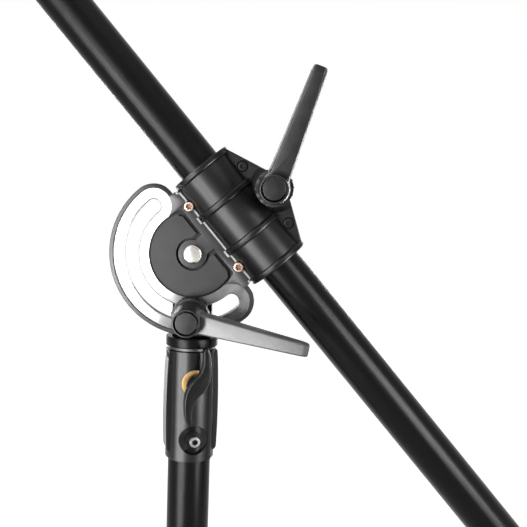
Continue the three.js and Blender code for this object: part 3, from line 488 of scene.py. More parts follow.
BLACK = grey(0.002, 0.0001)
tube_black = finish("tube_black", BLACK, 0.2, specular=0.085, bump=0.004, spread=0.01)
casting_black = finish("casting_black", grey(0.0035, 0.0001), 0.28, specular=0.12, grain=700, bump=0.012, spread=0.01)
receiver_black = finish("receiver_black", grey(0.003, 0.0001), 0.25, specular=0.18, grain=700, bump=0.012, spread=0.01)
wing_black = finish("wing_black", BLACK, 0.2, specular=0.16, grain=700, bump=0.012, spread=0.01)
# Painted shade: the grooves round the pad take a near black finish for the shade in them
groove_painted_shade = finish("groove_painted_shade", BLACK, 0.5, specular=0.06, grain=1200, bump=0.1, spread=0.06)
plate_grey = finish("plate_grey", grey(0.018, 0.0007), 0.4, specular=0.07, grain=650, bump=0.35)
# The levers' grey in two copies: painted lighter as lit for the lock lever, darker as shaded for the clamp lever
lever_painted_lit = finish("lever_painted_lit", grey(0.04, 0.0007), 0.42, specular=0.14, grain=520, bump=0.5)
lever_painted_shade = finish("lever_painted_shade", grey(0.01, 0.0005), 0.36, specular=0.06, grain=520, bump=0.4)
cap_black = finish("cap_black", grey(0.01, 0.0004), 0.44, specular=0.06, grain=700, bump=0.3, spread=0.06)
hub_black = finish("hub_black", grey(0.005, 0.0002), 0.34, specular=0.12, grain=520, bump=0.25, spread=0.02)
nut_black = finish("nut_black", grey(0.004, 0.0001), 0.32, specular=0.11, bump=0.1)
steel = finish("steel", (0.5, 0.48, 0.455), 0.15, metallic=1, bump=0.03)
zinc = finish("zinc", (0.42, 0.33, 0.27), 0.2, metallic=1)
# Painted shade: a darker zinc for the inside of the plate screws' sockets
zinc_painted_shade = finish("zinc_painted_shade", (0.035, 0.02, 0.014), 0.5, metallic=1, spread=0.06)
# Painted edge tone: a painted shaded chamfer on the plate's slot edge, a painted highlight on the casting screw's black
# head
painted_edge_tone = finish("painted_edge_tone", grey(0.09), 0.35, metallic=1)
# Painted highlight: pale lines along the plate's root edge and the pad's straight edge stand for the glint on their
# rounded edges
painted_glint = finish("painted_glint", grey(0.55, 0.005), 0.5, specular=0.2, bump=0.1)
band_metal = finish("band_metal", (0.33, 0.33, 0.325), 0.2, metallic=1, bump=0)
brass = finish("brass", (0.38, 0.24, 0.1), 0.34, metallic=1)
socket_black = finish("socket_black", grey(0.012, 0.0005), 0.25, metallic=1, bump=0.03)
nylon_dark = finish("nylon_dark", grey(0.008), 0.5, specular=0.15, bump=0.02, spread=0.06)
nylon_pale = finish("nylon_pale", (0.6, 0.59, 0.55), 0.5, bump=0.02, spread=0.06)
plastic_black = finish("plastic_black", grey(0.009, 0.0002), 0.42, specular=0.2, bump=0.2, spread=0.06)

BRUSH_SCALE = 3500.0
# Painted reflection on the band: its colour runs from bright on one side to dull on the other
LIT_SIDE_DIRECTION = (0.9, 0, -0.43)
LIT_FADE_START = -0.03
LIT_FADE_END = 0.025
STREAKS = 0.3
BAND_PAINTED_LIT = (0.98, 0.98, 0.97)
BAND_PAINTED_SHADE = (0.13, 0.13, 0.128)


def brush_round(material, centre):
    """Fine brushing in circles round an axis that runs along Y through the centre, with a painted reflection: bright on
    one side, duller towards the other.
    """
    tree = material.node_tree
    link = tree.links.new
    shader = tree.nodes["Principled BSDF"]
    place = add_node(tree, "TexCoord").outputs["Object"]
    offset = add_node(tree, "VectorMath", "SUBTRACT", (place, centre)).outputs[0]
    flat = add_node(tree, "VectorMath", "MULTIPLY", (offset, (1, 0, 1))).outputs[0]
    reach = add_node(tree, "VectorMath", "LENGTH", (flat,)).outputs["Value"]
    lines = add_node(tree, "TexNoise", Scale=BRUSH_SCALE, Detail=3.0)
    lines.noise_dimensions = "1D"
    link(reach, lines.inputs["W"])
    lit_side = add_node(tree, "VectorMath", "DOT_PRODUCT", (flat, LIT_SIDE_DIRECTION)).outputs["Value"]
    fade = add_node(tree, "MapRange", Value=lit_side, From_Min=LIT_FADE_START, From_Max=LIT_FADE_END)
    fade.interpolation_type = "SMOOTHSTEP"
    streak = add_node(tree, "Math", "MULTIPLY_ADD", (lines.outputs["Fac"], STREAKS, fade.outputs["Result"]))
    link(mixed(tree, BAND_PAINTED_LIT, BAND_PAINTED_SHADE, streak.outputs[0]), shader.inputs["Base Color"])
    relief = add_node(tree, "Bump", Strength=0.12, Distance=MM / 10, Height=lines.outputs["Fac"])
    link(relief.outputs["Normal"], shader.inputs["Normal"])
    outward = tree.nodes.new("ShaderNodeVectorTransform")
    outward.convert_from, outward.convert_to = "OBJECT", "WORLD"
    link(flat, outward.inputs[0])
    link(outward.outputs[0], shader.inputs["Tangent"])
    shader.inputs["Anisotropic"].default_value = 0.5


brush_round(band_metal, (0, 0, PIVOT_HEIGHT * MM))

CREASE = radians(32)


def shade(obj, materials):
    obj.data.materials.clear()
    for material in materials:
        obj.data.materials.append(material)
    for polygon in obj.data.polygons:
        polygon.use_smooth = True
    obj.data.set_sharp_from_angle(angle=CREASE)


def face_points(obj):
    """The corner points of each face of a mesh."""
    return [[obj.data.vertices[i].co for i in polygon.vertices] for polygon in obj.data.polygons]


def placed(name, obj, place, materials):
    obj.name = name + "_fine"
    obj.data.transform(Matrix.Scale(MM, 4) @ place)
    shade(obj, materials)


def piece(name, obj, place, body, slot, *materials, zones=None):
    """Puts a mesh in its place for the frame's node of the same name; zones number its faces' materials."""
    placed(name, obj, place, materials)
    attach(obj, body)
    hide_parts(name)
    if zones:
        obj.data.polygons.foreach_set("material_index", zones)


# Column and receiver
def column_plug():
    rim = COLUMN_RADIUS + PLUG_PROUD
    inside = COLUMN_RADIUS - TUBE_WALL - SLIDE
    top = PLUG_RIM + PLUG_DEPTH
    return lathe([(0, 0), (rim, 0), (rim, PLUG_RIM), (inside, PLUG_RIM), (inside, top), (0, top)], 96, EDGE)


def tube(radius, low, high):
    return ring(radius, radius - TUBE_WALL, low, high, 128, EDGE / 4)


def receiver():
    high, mouth = RECEIVER_HEIGHT, PANEL_RADIUS + OVERRUN
    core = rod(CORE_RADIUS, 0, high, 96, EDGE)
    half = degrees(asin(PANEL_HALF / PANEL_RADIUS))
    outline = arc(0, 0, PANEL_RADIUS, -90 - half, -90 + half) + arc(0, 0, PANEL_RADIUS, 90 - half, 90 + half)
    panel = prism(filleted(outline, EDGE), 0, high, EDGE)

    def side(sign):
        return bend((sign * RIB_FOOT, RIB_FOOT_HEIGHT), (sign * RIB_BELLY, high / 2), (sign * RIB_TOP, high))

    outline = [(-RIB_TOE, RIB_TOE_HEIGHT), (RIB_TOE, RIB_TOE_HEIGHT), *side(1), *reversed(side(-1))]
    ribs = turned(prism(filleted(outline, EDGE), -RIB_DEPTH, RIB_DEPTH, 2 * EDGE, 5), QUARTER)
    tube_bore = rod(COLUMN_RADIUS + SLIDE, -OVERRUN, COLUMN_SEAT, 96)
    spigot_bore = rod(SPIGOT_RADIUS + SLIDE, 0, high + OVERRUN, 96)
    brass_hole = drill(BRASS_RADIUS, 0, WING_HEIGHT)
    recess = drill(RECESS_RADIUS, PANEL_RADIUS - RECESS_DEPTH, RECESS_HEIGHT)
    moat = moved(turned(ring(RECESS_RADIUS, SCREW_SEAT_RADIUS, MOAT_FLOOR, mouth), QUARTER), z=RECESS_HEIGHT)
    screw_hole = drill(CASTING_SCREW_HOLE, 0, RECESS_HEIGHT)
    body = join(core, panel, ribs)
    return moved(cut(body, tube_bore, spigot_bore, brass_hole, recess, moat, screw_hole), z=RECEIVER_BOTTOM)


def drill(radius, start, height):
    """A cutter for a hole in the receiver's front."""
    return moved(turned(rod(radius, start, PANEL_RADIUS + OVERRUN, 64), QUARTER), z=height)


def on_receiver(name, obj, slot, material, height, body="column"):
    piece(name, moved(obj, y=RECEIVER_BOTTOM + height), RECEIVER, body, slot, material)


def brass_insert():
    low = SPIGOT_RADIUS + 2 * SEAT
    high = PANEL_RADIUS - BRASS_SET
    return ring(BRASS_RADIUS - SEAT, WING_SHANK + SEAT, low, high, 64, EDGE / 2)


# One edge of the wing, as shares of its reach
WING_EDGE = [
    (0.24, 0.99), (0.32, 0.81), (0.35, 0.55), (0.345, 0.29), (0.29, 0.06),
    (0.17, -0.15), (-0.02, -0.35), (-0.1, -0.55), (-0.12, -0.74), (-0.11, -0.92), (-0.17, -1.0),
]


def spline(points, steps=4):
    """A smooth open curve through points."""
    result = []
    count = len(points)
    for i in range(count - 1):
        p0, p1, p2, p3 = (Vector(points[max(0, min(count - 1, k))]) for k in (i - 1, i, i + 1, i + 2))
        for s in range(steps):
            t = s / steps
            result.append(tuple(0.5 * (2 * p1 + (p2 - p0) * t + (2 * p0 - 5 * p1 + 4 * p2 - p3) * t * t
                                       + (3 * p1 - p0 - 3 * p2 + p3) * t * t * t)))
    result.append(tuple(points[-1]))
    return result


# Shares of the wing's width and of its thickness, from its back to its crown
WING_DOME = [
    (0.85, 0.0), (0.96, 0.08), (1.0, 0.22), (1.0, 0.5), (0.97, 0.68), (0.91, 0.82), (0.82, 0.92), (0.7, 0.98),
    (0.55, 1.0),
]


def wing_section(share):
    """The wing's outline drawn in towards its curved middle line."""
    edge = spline([(x * WING_REACH, y * WING_REACH) for x, y in WING_EDGE])
    half = []
    for (x, y), (far_x, far_y) in zip(edge, reversed(edge)):
        middle_x, middle_y = (x - far_x) / 2, (y - far_y) / 2
        half.append((middle_x + (x - middle_x) * share, middle_y + (y - middle_y) * share))
    return half + [(-x, -y) for x, y in half]


def wing_screw():
    back = PANEL_RADIUS + SEAT
    front = back + WING_HUB_LENGTH
    root = front - EDGE
    shank = rod(WING_SHANK, WAIST_RADIUS + SEAT, back + EDGE)
    hub = rod(WING_HUB, back, front, 64, EDGE)
    wing = loft([(wing_section(width), root + height * WING_THICKNESS) for width, height in WING_DOME])
    return join(shank, hub, wing)


def washer(radius, bore, low):
    return ring(radius, bore, low, low + WASHER_HEIGHT, 48, 0.3)


def socket_screw(seat, height, head_radius, shank_radius, tip, socket):
    top = seat + height
    body = join(rod(head_radius, seat, top, 48, EDGE / 2), rod(shank_radius, tip, seat + EDGE, 32))
    return cut(body, prism(hexagon(socket), top - height / 2, top + OVERRUN))


# Head
def head_yoke():
    half, side = TONGUE_THICKNESS / 2, TONGUE_HALF
    top = -FLANGE_DROP
    bottom = top - FLANGE_HEIGHT
    tip = bottom - SPIGOT_LENGTH
    footing, ledge = top - EDGE, top + FOOT_HEIGHT
    tongue = prism([(-side, footing), (side, footing), *arc(0, 0, side, 0, 180, 32)], -half, half, EDGE)
    foot = prism([(-half - FOOT_DEPTH, footing), (0, footing), (0, ledge), (-half, ledge)], -side, side, EDGE / 2)
    foot = turned(foot, Matrix.Rotation(-pi / 2, 4, "Y"))
    waist_high, waist_low = -WING_DROP + WAIST_HALF, -WING_DROP - WAIST_HALF
    body = turned(lathe([
        (0, tip), (SPIGOT_RADIUS, tip), (SPIGOT_RADIUS, waist_low), (WAIST_RADIUS, waist_low + WAIST_SLOPE),
        (WAIST_RADIUS, waist_high - WAIST_SLOPE), (SPIGOT_RADIUS, waist_high), (SPIGOT_RADIUS, bottom),
        (FLANGE_RADIUS, bottom), (FLANGE_RADIUS, top), (0, top),
    ], 96, 1.2), ALONG_Y)
    bush_radius, end = 6.9, half + OVERRUN
    pivot_hole = rod(bush_radius + SEAT, -end, end)
    lock_hole = moved(rod(BOLT_RADIUS + SEAT, -end, end), y=-LOCK_RADIUS)
    return cut(join(tongue, foot, body), pivot_hole, lock_hole)


def thrust_washer():
    high = -FLANGE_DROP - FLANGE_HEIGHT - SEAT
    return turned(ring(THRUST_RADIUS, SPIGOT_RADIUS + SEAT, high - THRUST_HEIGHT, high, 96, SEAT), ALONG_Y)


def hex_head(width, low, high, up=True):
    """A hexagon whose corners are turned off at one end, as a bolt's or nut's are."""
    corner = width / sqrt(3)
    body = prism(hexagon(width), low, high)
    drop = (corner - width / 2) * 0.6
    clear, face = corner + 1, width / 2 - 0.2
    if up:
        profile = [(0, low), (clear, low), (clear, high - drop - 0.3), (face, high), (0, high)]
    else:
        profile = [(0, low), (face, low), (clear, low + drop + 0.3), (clear, high), (0, high)]
    return common(body, lathe(profile))


def pivot_bolt():
    seat = PLATE_FACE + SEAT
    radius, top_radius, height, hex_width, hex_height = 7.5, 6.4, 1.8, 11.3, 4
    front = seat + height
    flange = lathe([(0, seat), (radius, seat), (radius, seat + height / 2), (top_radius, front), (0, front)], 64, 0.3)
    head = hex_head(hex_width, seat, front + hex_height)
    shank = rod(PIVOT_RADIUS, PIVOT_NUT_BACK - EDGE, seat + EDGE, 32, EDGE / 2)
    return join(flange, head, shank)


def nut(width, low, high, bore):
    return cut(hex_head(width, low, high, False), rod(bore, low - OVERRUN, high + OVERRUN, 32))


def hex_bolt(seat, tip):
    width, height = 16, 6.5
    head = hex_head(width, seat - height, seat, False)
    return join(head, rod(BOLT_RADIUS, seat - EDGE, tip, 32, EDGE / 2))


def bolt_washer(radius, face):
    low = face + SEAT
    return ring(radius, BOLT_RADIUS + SEAT, low, low + BOLT_WASHER_HEIGHT, 64, 0.4)


# Sector plate
def root_edge(drop):
    """Half of the plate's edge beside the clamp: it steps round the ribs and bulges round the screw."""
    low, high = BOOM_OFFSET - RIB_RADIUS - 0.1 - drop, BOOM_OFFSET - SHELL_RADIUS - drop
    rib = RIB_WIDTH / 2 + RIB_SLOPE
    rise = degrees(asin((high - PLATE_SCREW_N) / LUG_RADIUS))
    return [
        (SHELL_HALF - RIB_WIDTH - RIB_SLOPE, low), (SHELL_HALF - RIB_WIDTH - 2 * RIB_SLOPE, high),
        *arc(PLATE_SCREW_S, PLATE_SCREW_N, LUG_RADIUS, rise, 180 - rise, 16),
        (RIB_INSET + rib, high), (RIB_INSET + rib, low), (RIB_INSET - rib, low), (RIB_INSET - rib, high),
    ]


def sector_outline(inset):
    radius = SECTOR_RADIUS - inset
    lobe = radius - LOCK_RADIUS
    edge = root_edge(ROOT_SHARE * inset)
    corner = (LOCK_RADIUS + lobe * cos(radians(LOBE_CORNER)), edge[0][1])
    return [
        *arc(LOCK_RADIUS, 0, lobe, LOBE_CORNER, 0, 20),
        *arc(0, 0, radius, 0, -180, 96)[1:-1],
        *arc(-LOCK_RADIUS, 0, lobe, 180, 180 - LOBE_CORNER, 20),
        (-corner[0], corner[1]), *[(-x, y) for x, y in edge], *reversed(edge), corner,
    ]


def slot_path(half):
    return [
        *arc(0, 0, LOCK_RADIUS + half, 0, -180, 96)[:-1],
        *arc(-LOCK_RADIUS, 0, half, 180, 0, 20)[:-1],
        *arc(0, 0, LOCK_RADIUS - half, -180, 0, 96)[:-1],
        *arc(LOCK_RADIUS, 0, half, 180, 0, 20)[:-1],
    ]


def pad_outline():
    reach = sqrt(PAD_RADIUS ** 2 - PAD_EDGE ** 2)
    low = degrees(asin((PAD_EDGE - PAD_CORNER) / PAD_RADIUS))
    side = PAD_RADIUS * cos(radians(low))
    return [
        *arc(0, 0, PAD_RADIUS, 180 - low, 360 + low, 72),
        *bend((side, PAD_EDGE - PAD_CORNER), (reach, PAD_EDGE), (reach - PAD_CORNER, PAD_EDGE), 8)[1:],
        *bend((PAD_CORNER - reach, PAD_EDGE), (-reach, PAD_EDGE), (-side, PAD_EDGE - PAD_CORNER), 8)[:-1],
    ]


def trench_outline(grow):
    """The low ground round the pad: a circle with its side next to the clamp cut straight."""
    radius, edge = PAD_RADIUS + PAD_MARGIN + grow, PAD_EDGE + PAD_GROOVE + grow
    turn = degrees(asin(edge / radius))
    return arc(0, 0, radius, 180 - turn, 360 + turn, 96)


def shell_barrel():
    """The ribbed barrel of the clamp, a line turned into each rib."""
    half, floor, top = SHELL_HALF, SHELL_RADIUS, RIB_RADIUS
    groove, line = top - 0.7, 0.5
    profile = [(0, -half)]
    for middle in (-half + RIB_WIDTH / 2, -RIB_INSET, RIB_INSET, half - RIB_WIDTH / 2):
        low, high = middle - RIB_WIDTH / 2, middle + RIB_WIDTH / 2
        if low > -half:
            profile += [(floor, low - RIB_SLOPE), (floor + 0.5, low)]
        profile += [
            (top - RIB_ROUND, max(-half, low + RIB_ROUND)), (top, max(-half + RIB_ROUND, low + 2 * RIB_SLOPE)),
            (top, middle - line - RIB_ROUND), (groove, middle - line),
            (groove, middle + line), (top, middle + line + RIB_ROUND),
            (top, min(half - RIB_ROUND, high - 2 * RIB_SLOPE)), (top - RIB_ROUND, min(half, high - RIB_ROUND)),
        ]
        if high < half:
            profile += [(floor + 0.5, high), (floor, high + RIB_SLOPE)]
    profile.append((0, half))
    return turned(lathe(profile, 128), ALONG_X)


# How far the plate's rounded rim draws in, and how far below its face
RIM = [(0, 1.6), (0.12, 1.05), (0.5, 0.64), (2.4, 0.14), (STRIP_WIDTH / 2, STRIP_DROP), (STRIP_WIDTH, 0)]


def sunk(outline, size, bottom, *mouth):
    """A cutter with an upright side and a flared mouth, given by how much it grows and at which height."""
    sections = [(0, bottom), *mouth, (mouth[-1][0], PLATE_FACE + OVERRUN)]
    return loft([(outline(size + grow), z) for grow, z in sections])


def sector_plate():
    floor, face = PLATE_FLOOR, PLATE_FACE
    below, above, trench = PLATE_BACK - OVERRUN, face + OVERRUN, floor - TRENCH_DEPTH
    body = loft([(sector_outline(0.5), PLATE_BACK), (sector_outline(0), PLATE_BACK + 0.5),
                 *[(sector_outline(inset), face - drop) for inset, drop in RIM]])
    slot = sunk(slot_path, SLOT_HALF, below, (0, floor - 0.6), (1, floor + 0.05))
    band = sunk(slot_path, BAND_HALF, floor, (0, face - 0.5), (0.15, face - 0.15), (0.5, face + 0.05))
    low_face = sunk(trench_outline, 0, trench, (0, face - 0.6), (0.1, face - 0.3), (0.3, face - 0.1),
                    (0.6, face + 0.02))
    body = cut(body, slot, band, low_face)
    pad = prism(pad_outline(), trench - EDGE, face, PAD_ROUND, 5, (False, True))
    pad = cut(pad, rod(PAD_INNER, below, above, 64),
              block(-NECK_HALF - PAD_GROOVE, NECK_HALF + PAD_GROOVE, 0, PAD_EDGE + OVERRUN, below, above))
    boss = rod(BOSS_RADIUS, trench - EDGE, face, 64, BOSS_EDGE)
    end = PAD_EDGE + 2 * PAD_GROOVE
    neck = prism([(-NECK_HALF, 0), (NECK_HALF, 0), (NECK_HALF, end), (-NECK_HALF, end)], trench - EDGE, face,
                 BOSS_EDGE, 3, (False, True))
    root = block(-SECTOR_RADIUS, SECTOR_RADIUS, ROOT_STEP, BOOM_OFFSET, below, face - ROOT_THICKNESS)
    holes = [moved(rod(PLATE_SCREW_RADIUS + SLIDE, below, above, 32), side * PLATE_SCREW_S, PLATE_SCREW_N)
             for side in (-1, 1)]
    return cut(join(body, pad, boss, neck), root, *holes, rod(PIVOT_RADIUS + SEAT, below, above, 32))


def from_slot(x, y):
    """How far a point lies from the slot's middle line."""
    return abs(hypot(x, y) - LOCK_RADIUS) if y < 0 else hypot(abs(x) - LOCK_RADIUS, y)


def on_band(point):
    x, y, z = point
    return abs(z - PLATE_FLOOR) < 0.02 and from_slot(x, y) < BAND_HALF + 0.1


def in_groove(point):
    x, y, z = point
    return z < PLATE_FACE - 0.3 and hypot(x, y) < PAD_RADIUS + PAD_MARGIN + 0.1 and y < PAD_EDGE + PAD_GROOVE + 1


def on_slot_edge(point):
    x, y, z = point
    return PLATE_FLOOR - 0.65 < z < PLATE_FLOOR + 0.02 and from_slot(x, y) < SLOT_HALF + 1.1


def on_root_edge(point):
    x, y, z = point
    return PLATE_FACE - 0.66 < z and y > BOOM_OFFSET - RIB_RADIUS - 1.9 and abs(x) < SHELL_HALF


def on_pad_line(point):
    x, y, z = point
    along = NECK_HALF + PAD_GROOVE - 0.5 < abs(x) < PAD_RADIUS
    return PLATE_FACE - 0.45 < z and PAD_EDGE - PAD_ROUND - 0.1 < y < PAD_EDGE + 0.1 and along


# Faces that take the painted highlight lines
def on_painted_glint(point):
    return on_root_edge(point) or on_pad_line(point)


def plate_zones(obj):
    """Material numbers of the plate's faces: the machined band, the grooves in painted shade, the slot's edge in a
    painted chamfer shade and the edge lines painted as highlights.
    """
    tests = [on_band, in_groove, on_slot_edge, on_painted_glint]
    zones = []
    for points in face_points(obj):
        hits = [number for number, test in enumerate(tests, 1) if all(map(test, points))]
        flat = min(point.z for point in points) > PLATE_FACE - 0.05
        zones.append(0 if flat or not hits else hits[0])
    return zones


def plate_screw(side):
    seat = PLATE_FACE + SEAT
    top = seat + PLATE_HEAD_HEIGHT
    radius, rim, top_radius = 4.6, 1.4, 3.6
    head = lathe([(0, seat), (radius, seat), (radius, seat + rim), (top_radius, top), (0, top)], 48, 0.4)
    body = join(head, rod(PLATE_SCREW_RADIUS, BOOM_FORWARD - SPLIT - REAR_FLANGE + EDGE, seat + EDGE, 32))
    star = prism(lobed(PLATE_SOCKET_RADIUS, 0.7, 6), top - PLATE_SOCKET_DEPTH, top + OVERRUN)
    return moved(cut(body, star), side * PLATE_SCREW_S, PLATE_SCREW_N)


def socket_zone(obj, centre, radius, top, depth):
    """Material numbers of a screw's faces: one for those inside its socket."""
    def inside(point):
        return dist(point[:2], centre) < radius and point.z > top - depth - 0.1

    return [int(all(map(inside, points)) and min(point.z for point in points) < top - 0.1)
            for points in face_points(obj)]


# Clamp shells
def ear_outline():
    root, shoulder, slope_top = (n - BOOM_OFFSET for n in (EAR_ROOT, EAR_SHOULDER, EAR_SLOPE_TOP))
    peak = 2 * EAR_PEAK - EAR_SLOPE_TOP - BOOM_OFFSET
    half = SHELL_HALF
    return [
        (-half, 0), (half, 0), (half, root),
        *bend((half, root), (half, shoulder - 1), (half - EAR_CORNER, shoulder), 4)[1:],
        *bend((EAR_HALF_PEAK, slope_top), (0, peak), (-EAR_HALF_PEAK, slope_top), 16),
        *bend((EAR_CORNER - half, shoulder), (-half, shoulder - 1), (-half, root), 4),
    ]


def clamp_shell(flange_thickness, front):
    flange_edge = ROOT_STEP + SEAT - BOOM_OFFSET
    depth = RIB_RADIUS + OVERRUN
    flange = block(-FLANGE_HALF, FLANGE_HALF, flange_edge, -20, SPLIT, SPLIT + flange_thickness)
    top = SPLIT + EAR_THICKNESS
    ear = prism(ear_outline(), SPLIT, top, 0.9, 3)
    half = block(-SHELL_HALF - 1, SHELL_HALF + 1, flange_edge - OVERRUN, EAR_PEAK, SPLIT, depth)
    body = join(common(shell_barrel(), half), flange, ear)
    if front:
        high = BOSS_TOP - BOOM_FORWARD
        cone = lathe([(0, SPLIT), (BOSS_BASE, SPLIT), (BOSS_BASE, top), (BOSS_TOP_RADIUS, high), (0, high)], 96, EDGE)
        trim = prism(ear_outline(), SPLIT, high + 1)
        body = join(body, common(moved(cone, y=CLAMP_BOLT_N - BOOM_OFFSET), trim))
    lip = SHELL_HALF - SLEEVE_LIP
    sleeve_outer = BOOM_RADIUS + SLIDE + SLEEVE_WALL
    cutters = [
        turned(rod(sleeve_outer + SLIDE, -lip, lip, 128), ALONG_X),
        turned(rod(BOOM_RADIUS + 2 * SLIDE + SEAT, -SHELL_HALF - OVERRUN, SHELL_HALF + OVERRUN, 128), ALONG_X),
        moved(rod(BOLT_RADIUS + SEAT, -OVERRUN, depth, 48), y=CLAMP_BOLT_N - BOOM_OFFSET),
    ]
    for side in (-1, 1):
        screw = (side * PLATE_SCREW_S, PLATE_SCREW_N - BOOM_OFFSET)
        ear_screw = (side * EAR_SCREW_S, EAR_SCREW_N - BOOM_OFFSET)
        cutters += [moved(rod(PLATE_SCREW_RADIUS + SLIDE, -OVERRUN, depth, 32), *screw),
                    moved(rod(EAR_SCREW_RADIUS + SLIDE, -OVERRUN, depth, 32), *ear_screw)]
        if front:
            lug_floor = PLATE_FACE - ROOT_THICKNESS - BOOM_FORWARD - SEAT
            floor = top - EAR_HEAD_HEIGHT - SEAT
            radius, mouth = 4.2, 4.8
            recess = [(0, floor), (radius, floor), (radius, top - 0.5), (mouth, top + 0.1), (mouth, depth), (0, depth)]
            cutters += [moved(rod(LUG_RADIUS + SEAT, lug_floor, depth), *screw),
                        moved(lathe(recess, 48), *ear_screw)]
    return cut(body, *cutters)


def clamp_sleeve():
    half = SHELL_HALF - SLEEVE_LIP - SEAT
    inner = BOOM_RADIUS + SLIDE
    sleeve = turned(ring(inner + SLEEVE_WALL, inner, -half, half, 96), ALONG_X)
    return cut(sleeve, block(-half - OVERRUN, half + OVERRUN, 0, inner + SLEEVE_WALL + OVERRUN, -1, 1))


# Ratchet lever set
def lever_nut():
    scallop, count = 1.1, 16
    flange = prism(lobed(NUT_RADIUS, scallop, count), 0, NUT_HEIGHT, 0.6)
    teeth = prism(lobed(TOOTH_RADIUS, TOOTH_DEPTH, TOOTH_COUNT, 6), NUT_HEIGHT - EDGE, NUT_HEIGHT + TOOTH_LENGTH)
    pilot = rod(PILOT_RADIUS, NUT_HEIGHT, NUT_HEIGHT + 10.5, 32)
    return cut(join(flange, teeth, pilot), rod(BOLT_RADIUS + SLIDE, -OVERRUN, THREAD_DEPTH, 32),
               rod(RETAINER_RADIUS + SLIDE, 0, NUT_HEIGHT + 14, 32))


# Shares of the arm's length, and how much its sides draw in there
ARM_STATIONS = [(0.0, 0.0), (0.35, 0.0), (0.7, 0.0), (0.94, 0.0), (0.98, 0.25), (0.995, 0.7), (1.0, 1.3)]


def lever_arm():
    """The arm, a rounded trapezium all along it."""
    sections = []
    for share, shrink in ARM_STATIONS:
        distance = ARM_START + (ARM_LENGTH - ARM_START) * share
        width = ARM_ROOT_WIDTH + (ARM_TIP_WIDTH - ARM_ROOT_WIDTH) * share - 2 * shrink
        thickness = ARM_ROOT_THICKNESS + (ARM_TIP_THICKNESS - ARM_ROOT_THICKNESS) * share - 2 * shrink
        back = ARM_ROOT_BACK + (ARM_TIP_BACK - ARM_ROOT_BACK) * share + shrink
        half, front = width / 2, back + thickness
        outline = [(-half, back), (half, back), (half - ARM_DRAFT, front), (ARM_DRAFT - half, front)]
        sections.append([(distance, y, z) for y, z in filleted(outline, ARM_CORNER, 4)])
    return skinned(sections, "arm")


def lever():
    base = NUT_HEIGHT + SEAT
    hub = lathe([(0, base), (HUB_BASE, base), (HUB_TOP, HUB_HEIGHT), (0, HUB_HEIGHT)], 96, 1.0)
    radius, mouth, low, high = 9.4, 9.8, SPRING_LOW, HUB_HEIGHT + OVERRUN
    bore = lathe([(0, low), (radius, low), (radius, HUB_HEIGHT - 1.2), (mouth, HUB_HEIGHT + 0.1), (mouth, high),
                  (0, high)])
    clearance = 0.6
    teeth = prism(lobed(TOOTH_RADIUS + clearance, TOOTH_DEPTH, TOOTH_COUNT, 6), 0, NUT_HEIGHT + TOOTH_LENGTH + SEAT)
    return cut(join(hub, lever_arm()), teeth, rod(PILOT_RADIUS + SEAT, 0, HUB_HEIGHT, 32), bore)


def lever_spring():
    """A helix of round wire between the hub's shoulder and the retaining screw."""
    low, high = SPRING_LOW + SPRING_WIRE + 0.1, SPRING_HIGH - SPRING_WIRE - 0.1
    steps = 24 * SPRING_TURNS
    rings = []
    for i in range(steps + 1):
        turn = 2 * pi * SPRING_TURNS * i / steps
        out = Vector((cos(turn), sin(turn), 0))
        middle = out * SPRING_RADIUS + Vector((0, 0, low + (high - low) * i / steps))
        rings.append([middle + out * (SPRING_WIRE * x) + Vector((0, 0, SPRING_WIRE * z))
                      for x, z in arc(0, 0, 1, 0, 360, 10)[:-1]])
    return skinned(rings, "spring")


def squeezed_spring(prefix, place):
    """The spring in place of the frame's own, which is hidden; it is fixed at its resting length and carried by no
    body.
    """
    obj = lever_spring()
    placed(prefix + "_spring", obj, place, [steel])
    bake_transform(obj)
    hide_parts(prefix + "_spring")


def lever_cap():
    back, front = HUB_HEIGHT - CAP_HEIGHT, HUB_HEIGHT - 0.4
    return lathe([(0, back), (CAP_RADIUS, back), (CAP_RADIUS, HUB_HEIGHT - 1.6), (CAP_RADIUS - 0.6, front),
                  (0, front)], 64, 0.25)


def hub_zone(obj):
    """Material numbers of the lever's faces: one for the hub, which stays black beside the arm's grey, painted lighter
    as lit on the lock lever and darker as shaded on the clamp lever.
    """
    return [int(all(hypot(point.x, point.y) < HUB_BASE + 0.1 for point in points)) for points in face_points(obj)]


def lever_set(prefix, parent, offset, base, angle, paint, cap_paint):
    place = parent @ Matrix.Translation((0, offset, base)) @ spun(angle)
    piece(prefix + "_nut", lever_nut(), place, prefix + "_handle_nut", "black_steel", nut_black)
    arm = lever()
    piece(prefix + "_lever", arm, place, prefix + "_handle", "lever", paint, hub_black, zones=hub_zone(arm))
    piece(prefix + "_cap", lever_cap(), place, prefix + "_handle", "plastic", cap_paint)
    squeezed_spring(prefix, place)


# Boom
def rear_cap():
    proud, depth = 1.1, 22
    rim, inside, bore = BOOM_RADIUS + proud, BOOM_RADIUS - TUBE_WALL - SLIDE, EYE_WIRE + SLIDE
    start = BOOM_REAR + SEAT
    low, high = start - depth, start + REAR_CAP_RIM
    return lathe([(bore, low), (inside, low), (inside, start), (rim, start), (rim, high), (bore, high)], 96, EDGE)


def weight_eye():
    radius, inside = 13, 32
    centre = BOOM_REAR + REAR_CAP_RIM + radius + EYE_WIRE + 2 * SEAT
    loop = lathe(arc(radius, 0, EYE_WIRE, 0, 360)[:-1])
    shank = rod(EYE_WIRE, BOOM_REAR - inside, centre - radius, 32, EDGE / 2)
    return join(moved(loop, centre), turned(shank, ALONG_X))


KNOB = Matrix.Translation((-BOOM_FRONT - KNOB_OFFSET, 0, 0)) @ Matrix.Rotation(pi, 4, "X")


